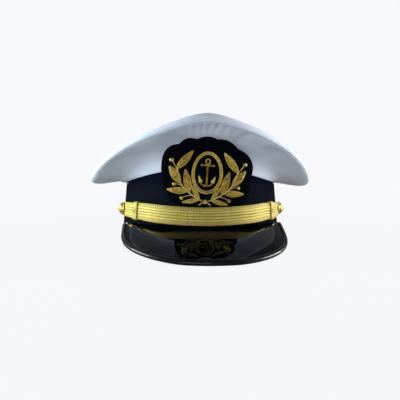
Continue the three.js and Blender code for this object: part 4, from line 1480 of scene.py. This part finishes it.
# %% Cut wire
WIRE_STEP = 0.85
WIRE_WIDTH = 0.78
WIRE_SLANT = 0.75


def purl(start, end):
    """Matrix of one cut length of coiled wire, laid from start to end."""
    way = end - start
    turned = way.to_track_quat("X", "Z").to_matrix().to_4x4()
    shaped = Matrix.Diagonal((way.length / 2, WIRE_WIDTH / 2, WIRE_WIDTH / 2, 1))
    return Matrix.Translation((start + end) / 2) @ turned @ shaped


print("a leaf of 20 mm takes", 2 * round(20 / WIRE_STEP), "cut wires")

# %% Leaf
CORE_FLATNESS = 0.28
CORE_SHARE = 0.85
VEIN_HEIGHT = 1.05
EDGE_HEIGHT = 0.42
COUCHED_RADIUS = 0.4
COUCHED_HEIGHT = 0.35
VEIN_CORD_RADIUS = 0.26
VEIN_CORD_HEIGHT = 1.3
COIL_PITCH = 1.1
COIL_DEPTH = 0.3
BRIGHT = 1


def leaf(bm, foot, tip, width):
    """Core, slanting wires, vein and couched outline of one leaf."""
    way = tip - foot
    length = way.length
    along = way / length
    across = along.cross(UP)

    def half(share):
        return width / 2 * (0.1 + 0.9 * math.sin(math.pi * share**0.85))

    def core(share):
        return foot + way * share

    tube(bm, core, lambda share: max(0.15, half(share) * CORE_SHARE), 12, 8, flat=CORE_FLATNESS)
    count = round(length / WIRE_STEP)
    wires = []
    for k in range(count):
        share = (k + 0.6) / (count + 0.6)
        reach = half(min(1, share + 0.04))
        start = core(share) + UP * VEIN_HEIGHT
        ahead = min(length, length * share + reach * WIRE_SLANT)
        for edge in (-1, 1):
            end = foot + along * ahead + across * (edge * reach) + UP * EDGE_HEIGHT
            wires.append(purl(start, end))
    grains(bm, wires, 8, 6)
    for edge in (-1, 1):
        def outline(share, edge=edge):
            return core(share) + across * (edge * half(share)) + UP * COUCHED_HEIGHT

        tube(
            bm, outline, COUCHED_RADIUS, round(length * 2.4), 6,
            coils=length / COIL_PITCH, depth=0.35, material=BRIGHT)
    tube(
        bm, lambda share: core(0.03 + 0.9 * share) + UP * VEIN_CORD_HEIGHT,
        lambda share: VEIN_CORD_RADIUS * (1.1 - 0.5 * share), round(length * 2), 6,
        coils=length, depth=COIL_DEPTH, material=BRIGHT)


print("a leaf's core is", CORE_FLATNESS, "as high as it is wide")

# %% [markdown]
# A spray is a stem with leaves and berries on stalks, all given by shares of the pad, so that the left spray
# is the right one mirrored. Stem and stalks are bright cord. Each berry is a padded ball with a thin cord
# wound up on it.

# %% Path through places
def smooth_path(points):
    """Function that runs through a row of points by even shares."""
    last = len(points) - 1

    def at(share):
        place = min(last - 0.001, max(0, share * last))
        i = int(place)
        t = place - i
        a, b, c, d = points[max(0, i - 1)], points[i], points[i + 1], points[min(last, i + 2)]
        square = a * 2 - b * 5 + c * 4 - d
        cube = b * 3 - a - c * 3 + d
        return (b * 2 + (c - a) * t + square * t**2 + cube * t**3) / 2

    return at


print("halfway on a straight path:", smooth_path([Vector((0, 0, 0)), Vector((2, 0, 0))])(0.5).x)

# %% Sprays
STEM_ROWS = [(0.055, 0.16), (0.17, 0.185), (0.34, 0.25), (0.5, 0.33), (0.6, 0.43), (0.68, 0.57)]
LEAF_ROWS = [
    (0.68, 0.56, 0.355, 0.795, 0.15), (0.57, 0.38, 0.815, 0.59, 0.15), (0.35, 0.255, 0.49, 0.555, 0.15),
    (0.4, 0.275, 0.82, 0.29, 0.13), (0.13, 0.175, 0.31, 0.35, 0.085), (0.14, 0.17, 0.48, 0.13, 0.085),
]
BERRY_ROWS = [(0.68, 0.56, 0.785, 0.675), (0.53, 0.345, 0.69, 0.37), (0.29, 0.225, 0.5, 0.19)]
STEM_RADIUS = 0.72
STALK_RADIUS = 0.36
BERRY_SIZE = (1.45, 1.45, 1.2, 1)
SPIRAL_RADIUS = 1.15
SPIRAL_CORD = 0.3


def berry(bm, ball):
    """Padded ball with a cord wound up on it."""
    grains(bm, [Matrix.Translation(ball + UP * 0.8) @ Matrix.Diagonal(BERRY_SIZE)], 14, 9)
    turns = []
    for k in range(8):
        way = Vector((math.cos(k * 0.9), math.sin(k * 0.9), 0)) * SPIRAL_RADIUS
        turns.append(ball + (way + UP * (0.3 + 0.22 * k)) * (1 if k < 5 else 0.99))
    tube(bm, smooth_path(turns), SPIRAL_CORD, 30, 5, material=BRIGHT)


def spray(mirror):
    bm = new_mesh()
    stem = smooth_path([on_pad(mirror, side, up, 0.5) for side, up in STEM_ROWS])
    tube(bm, stem, STEM_RADIUS, 150, 8, coils=42, depth=COIL_DEPTH, material=BRIGHT)
    for foot_side, foot_up, tip_side, tip_up, width in LEAF_ROWS:
        foot, tip = on_pad(mirror, foot_side, foot_up), on_pad(mirror, tip_side, tip_up)
        leaf(bm, foot, tip, width * PAD_HALF_WIDTH)
    for foot_side, foot_up, side, up in BERRY_ROWS:
        foot, ball = on_pad(mirror, foot_side, foot_up, 0.45), on_pad(mirror, side, up, 0.45)
        stalk = smooth_path([foot, foot.lerp(ball, 0.5) + Vector((0.4 * mirror, 0.5, 0)), ball])
        tube(bm, stalk, STALK_RADIUS, 26, 6, coils=9, depth=COIL_DEPTH, material=BRIGHT)
        berry(bm, ball)
    return lay_on_pad(bm)


for mirror, name in ((-1, "left"), (1, "right")):
    sewn = spray(mirror)
    piece(f"bullion_spray_{name}", sewn, "bullion", bullion, bright_purl, replaces=[f"spray_{name}"])

# %% [markdown]
# ## Tie, oval and anchor
# The knot is a few turns of the same cord over the crossed stems. The oval is a thick coil, and the anchor
# in it is a plain one: a ring, a stock, a shank and two arms with flukes, each a padded bar with wire wound
# closely round it. A tube whose surface is cut by a helix gives all of them their windings.

# %% Tie
KNOT_TOP = 0.16 * PAD_HEIGHT + 1.3
KNOT_HALF = 1.35
KNOT_TURNS = 4
KNOT_STEP = 0.95
KNOT_ROWS = [(-1, -0.15, 0.35), (-0.6, 0, 1.2), (0, 0.05, 1.45), (0.6, 0, 1.2), (1, -0.15, 0.35)]
TAIL_ROWS = [(0, -1.6), (2.4, -3), (5, -5.2)]


def tie():
    bm = new_mesh()
    for k in range(KNOT_TURNS):
        y = KNOT_TOP - 0.5 - KNOT_STEP * k
        turns = smooth_path([Vector((side * KNOT_HALF, y + up, height)) for side, up, height in KNOT_ROWS])
        tube(bm, turns, 0.5, 30, 7, coils=7, depth=COIL_DEPTH, material=BRIGHT)
    for side in (-1, 1):
        tail = smooth_path([Vector((side * out, KNOT_TOP + up, 0.5)) for out, up in TAIL_ROWS])
        tube(bm, tail, 0.6, 40, 8, coils=12, depth=COIL_DEPTH, material=BRIGHT)
    return lay_on_pad(bm)


piece("bullion_tie", tie(), "bullion", bullion, bright_purl, replaces=["spray_tie"])

# %% Oval
OVAL_HALF_WIDTH = 12.4
OVAL_HALF_HEIGHT = 17.2
OVAL_OFFSET = 1.15
OVAL_RADIUS = 1.0
LINE_OFFSET = 0.55
LINE_RADIUS = 0.36
LINE_GAP = 1.1


def around(gap, height):
    """Line round the oval, so far outside its middle line and so high."""
    half_width, half_height = OVAL_HALF_WIDTH + gap, OVAL_HALF_HEIGHT + gap

    def at(share):
        angle = TURN * share
        return Vector((half_width * math.cos(angle), OVAL_MIDDLE + half_height * math.sin(angle), height))

    return at


def oval():
    bm = new_mesh()
    tube(bm, around(0, OVAL_OFFSET), OVAL_RADIUS, 520, 10, ring=True, coils=104, depth=COIL_DEPTH)
    for gap, steps, coils in ((-LINE_GAP, 300, 84), (LINE_GAP, 320, 92)):
        line = around(gap, LINE_OFFSET)
        tube(bm, line, LINE_RADIUS, steps, 6, ring=True, coils=coils, depth=0.35, material=BRIGHT)
    return lay_on_pad(bm)


piece("bullion_oval", oval(), "bullion", bullion, bright_purl, replaces=["badge_oval"])

# %% Anchor
STOCK_HALF = 5.4
STOCK_HEIGHT = 6.7
ARM_ROWS = [(0, -11.4), (2.6, -11), (5, -9.2), (6.6, -5.6)]


def on_oval(x, y, height=0.75):
    return Vector((x, OVAL_MIDDLE + y, height))


def straight(start, end):
    return lambda share: start.lerp(end, share)


def anchor():
    bm = new_mesh()

    def eye(share):
        return on_oval(2 * math.cos(TURN * share), 10 + 2 * math.sin(TURN * share), 0.6)

    tube(bm, eye, 0.55, 60, 8, ring=True, coils=15, depth=COIL_DEPTH, material=BRIGHT)
    shank = straight(on_oval(0, 8.4), on_oval(0, -11.6))
    tube(bm, shank, 0.95, 110, 8, coils=26, depth=COIL_DEPTH)
    stock = straight(on_oval(-STOCK_HALF, STOCK_HEIGHT), on_oval(STOCK_HALF, STOCK_HEIGHT))
    tube(bm, stock, 0.8, 60, 8, coils=13, depth=COIL_DEPTH)
    for side in (-1, 1):
        knob = Matrix.Translation(on_oval(STOCK_HALF * side, STOCK_HEIGHT, 0.9)) @ Matrix.Scale(1.15, 4)
        grains(bm, [knob], 12, 8)
        arm = smooth_path([on_oval(side * out, up) for out, up in ARM_ROWS])
        tube(bm, arm, lambda s: lerp(1.05, 0.65, s), 80, 8, coils=16, depth=COIL_DEPTH)
        foot = on_oval(5.2 * side, -8.2, 0.9)
        fluke = straight(foot, on_oval(7.4 * side, -2.6, 0.7))
        tube(
            bm, fluke, lambda s: 1.9 * (1 - s) ** 0.8 + 0.12, 30, 8,
            flat=0.55, coils=7, depth=0.2, material=BRIGHT)
        barb = straight(foot, on_oval(3.4 * side, -6.4, 0.8))
        tube(
            bm, barb, lambda s: 1.1 * (1 - s) + 0.12, 16, 8,
            flat=0.6, coils=4, depth=0.2, material=BRIGHT)
    return lay_on_pad(bm)


piece("bullion_anchor", anchor(), "bullion", bullion, bright_purl, replaces=["badge_anchor"])

# %% [markdown]
# ## Table and backdrop
# The cap stands on one wide pale table under a backdrop of the same tone, so no line parts them. Plain paper
# would show the lamps' unevenness. So the camera sees the table mostly by a glow of its own, and every other
# ray sees grey paper, which throws some light back under the crown.

# %% Stage
TABLE_HALF_WIDTH = 6
CONTACT_SHADE = 0.04
BACKDROP = (0.93, 0.945, 0.97, 1)
stage_material = bpy.data.materials.new("pale_table")
stage_material.use_nodes = True
stage = Field(stage_material.node_tree)
seen = stage.node("LightPath", {}, {}, "Is Camera Ray")
spot = stage.node("TexCoord", {}, {}, "Object")
distance = stage.node("VectorMath", {"operation": "LENGTH"}, {0: spot}, "Value")
near = 1 / (distance * distance * 0.5 + 1)
paper = stage.node("BsdfDiffuse", {}, {"Color": (0.5, 0.51, 0.53, 1)})
shaded = stage.node("BsdfDiffuse", {}, {"Color": (0.03, 0.03, 0.03, 1)})
glow = stage.node("Emission", {}, {"Color": BACKDROP, "Strength": 1 - near * CONTACT_SHADE})
photographed = stage.node("AddShader", {}, {0: shaded, 1: glow})
both = stage.node("MixShader", {}, {0: seen, 1: paper, 2: photographed})
output = stage_material.node_tree.nodes["Material Output"]
stage_material.node_tree.links.new(both.socket, output.inputs["Surface"])

table = bmesh.new()
bmesh.ops.create_grid(table, x_segments=1, y_segments=1, size=TABLE_HALF_WIDTH)
table_mesh = bpy.data.meshes.new("table")
table.to_mesh(table_mesh)
table.free()
table_mesh.materials.append(stage_material)
table_top = bpy.data.objects.new("table", table_mesh)
bpy.context.scene.collection.objects.link(table_top)
print("table is", 2 * TABLE_HALF_WIDTH, "m wide")

# %% Backdrop
world = bpy.data.worlds.new("studio")
bpy.context.scene.world = world
world.use_nodes = True
air = Field(world.node_tree)
camera_ray = air.node("LightPath", {}, {}, "Is Camera Ray")
sky = camera_ray.blend((0.08, 0.095, 0.12, 1), BACKDROP)
world.node_tree.links.new(sky.socket, world.node_tree.nodes["Background"].inputs["Color"])
print("the backdrop's colour is", BACKDROP[:3])

# %% [markdown]
# ## Light and camera
# Two large soft lights stand at the sides, a cooler one on the left, with a weaker one in front and a small
# one behind. All are low, so that the crown's top isn't burnt out. A picture of a studio could light the cap
# at once, but lamps can be matched to the photo one at a time.

# %% Lights
LIT_PLACE = Vector((0, 0, 0.06))


def soft_light(name, place, size, power, colour):
    lamp = bpy.data.lights.new(name, "AREA")
    lamp.shape = "RECTANGLE"
    lamp.size, lamp.size_y = size
    lamp.energy = power
    lamp.color = colour
    made = bpy.data.objects.new(name, lamp)
    made.location = place
    made.rotation_euler = (LIT_PLACE - Vector(place)).to_track_quat("-Z", "Y").to_euler()
    bpy.context.scene.collection.objects.link(made)
    print(name, power, "W")


soft_light("left_window", (-1.15, 0.2, 0.28), (0.8, 0.5), 28, (0.85, 0.97, 1.0))
soft_light("right_box", (1.15, 0.15, 0.28), (0.8, 0.5), 25, (0.97, 0.98, 1.0))
soft_light("front_fill", (-0.45, -1.6, 0.25), (1.2, 0.5), 11, (0.9, 0.95, 1.0))
soft_light("back_wall", (0, 1.7, 0.6), (1.4, 0.5), 6, (1.0, 1.0, 1.0))

# %% [markdown]
# The camera stands 60 cm away, a little above the band's edge and slightly to the left. Its place is given
# in the cap's own frame, because the photo was matched there, and is then pitched with the cap.

# %% Camera
CAMERA_DISTANCE = 600
CAMERA_HEIGHT = 40
SENSOR_WIDTH = 36
FOCAL_PIXELS = 558
PHOTO_PIXELS = 400
AIM = math.radians(3.3)
LOOK_DOWN = math.radians(1.33)
eye = Vector((-CAMERA_DISTANCE * math.sin(AIM), -CAMERA_DISTANCE * math.cos(AIM), CAMERA_HEIGHT))
look = Vector((
    math.sin(AIM) * math.cos(LOOK_DOWN), math.cos(AIM) * math.cos(LOOK_DOWN), -math.sin(LOOK_DOWN)))
right = look.cross(UP).normalized()
axes = Matrix((right, right.cross(look), -look)).transposed().to_4x4()
stood = PITCHED @ Matrix.Translation(eye) @ axes
stood.translation = stood.translation * 0.001
camera_data = bpy.data.cameras.new("camera")
camera_data.sensor_width = SENSOR_WIDTH
camera_data.lens = SENSOR_WIDTH * FOCAL_PIXELS / PHOTO_PIXELS
camera_data.clip_start = 0.01
camera = bpy.data.objects.new("camera", camera_data)
camera.matrix_world = stood
bpy.context.scene.collection.objects.link(camera)
bpy.context.scene.camera = camera
bpy.context.scene.view_settings.view_transform = "Standard"
print("camera stands", round(stood.translation.z, 3), "m above the table")

# %% [markdown] The dressed cap must not outgrow the model.
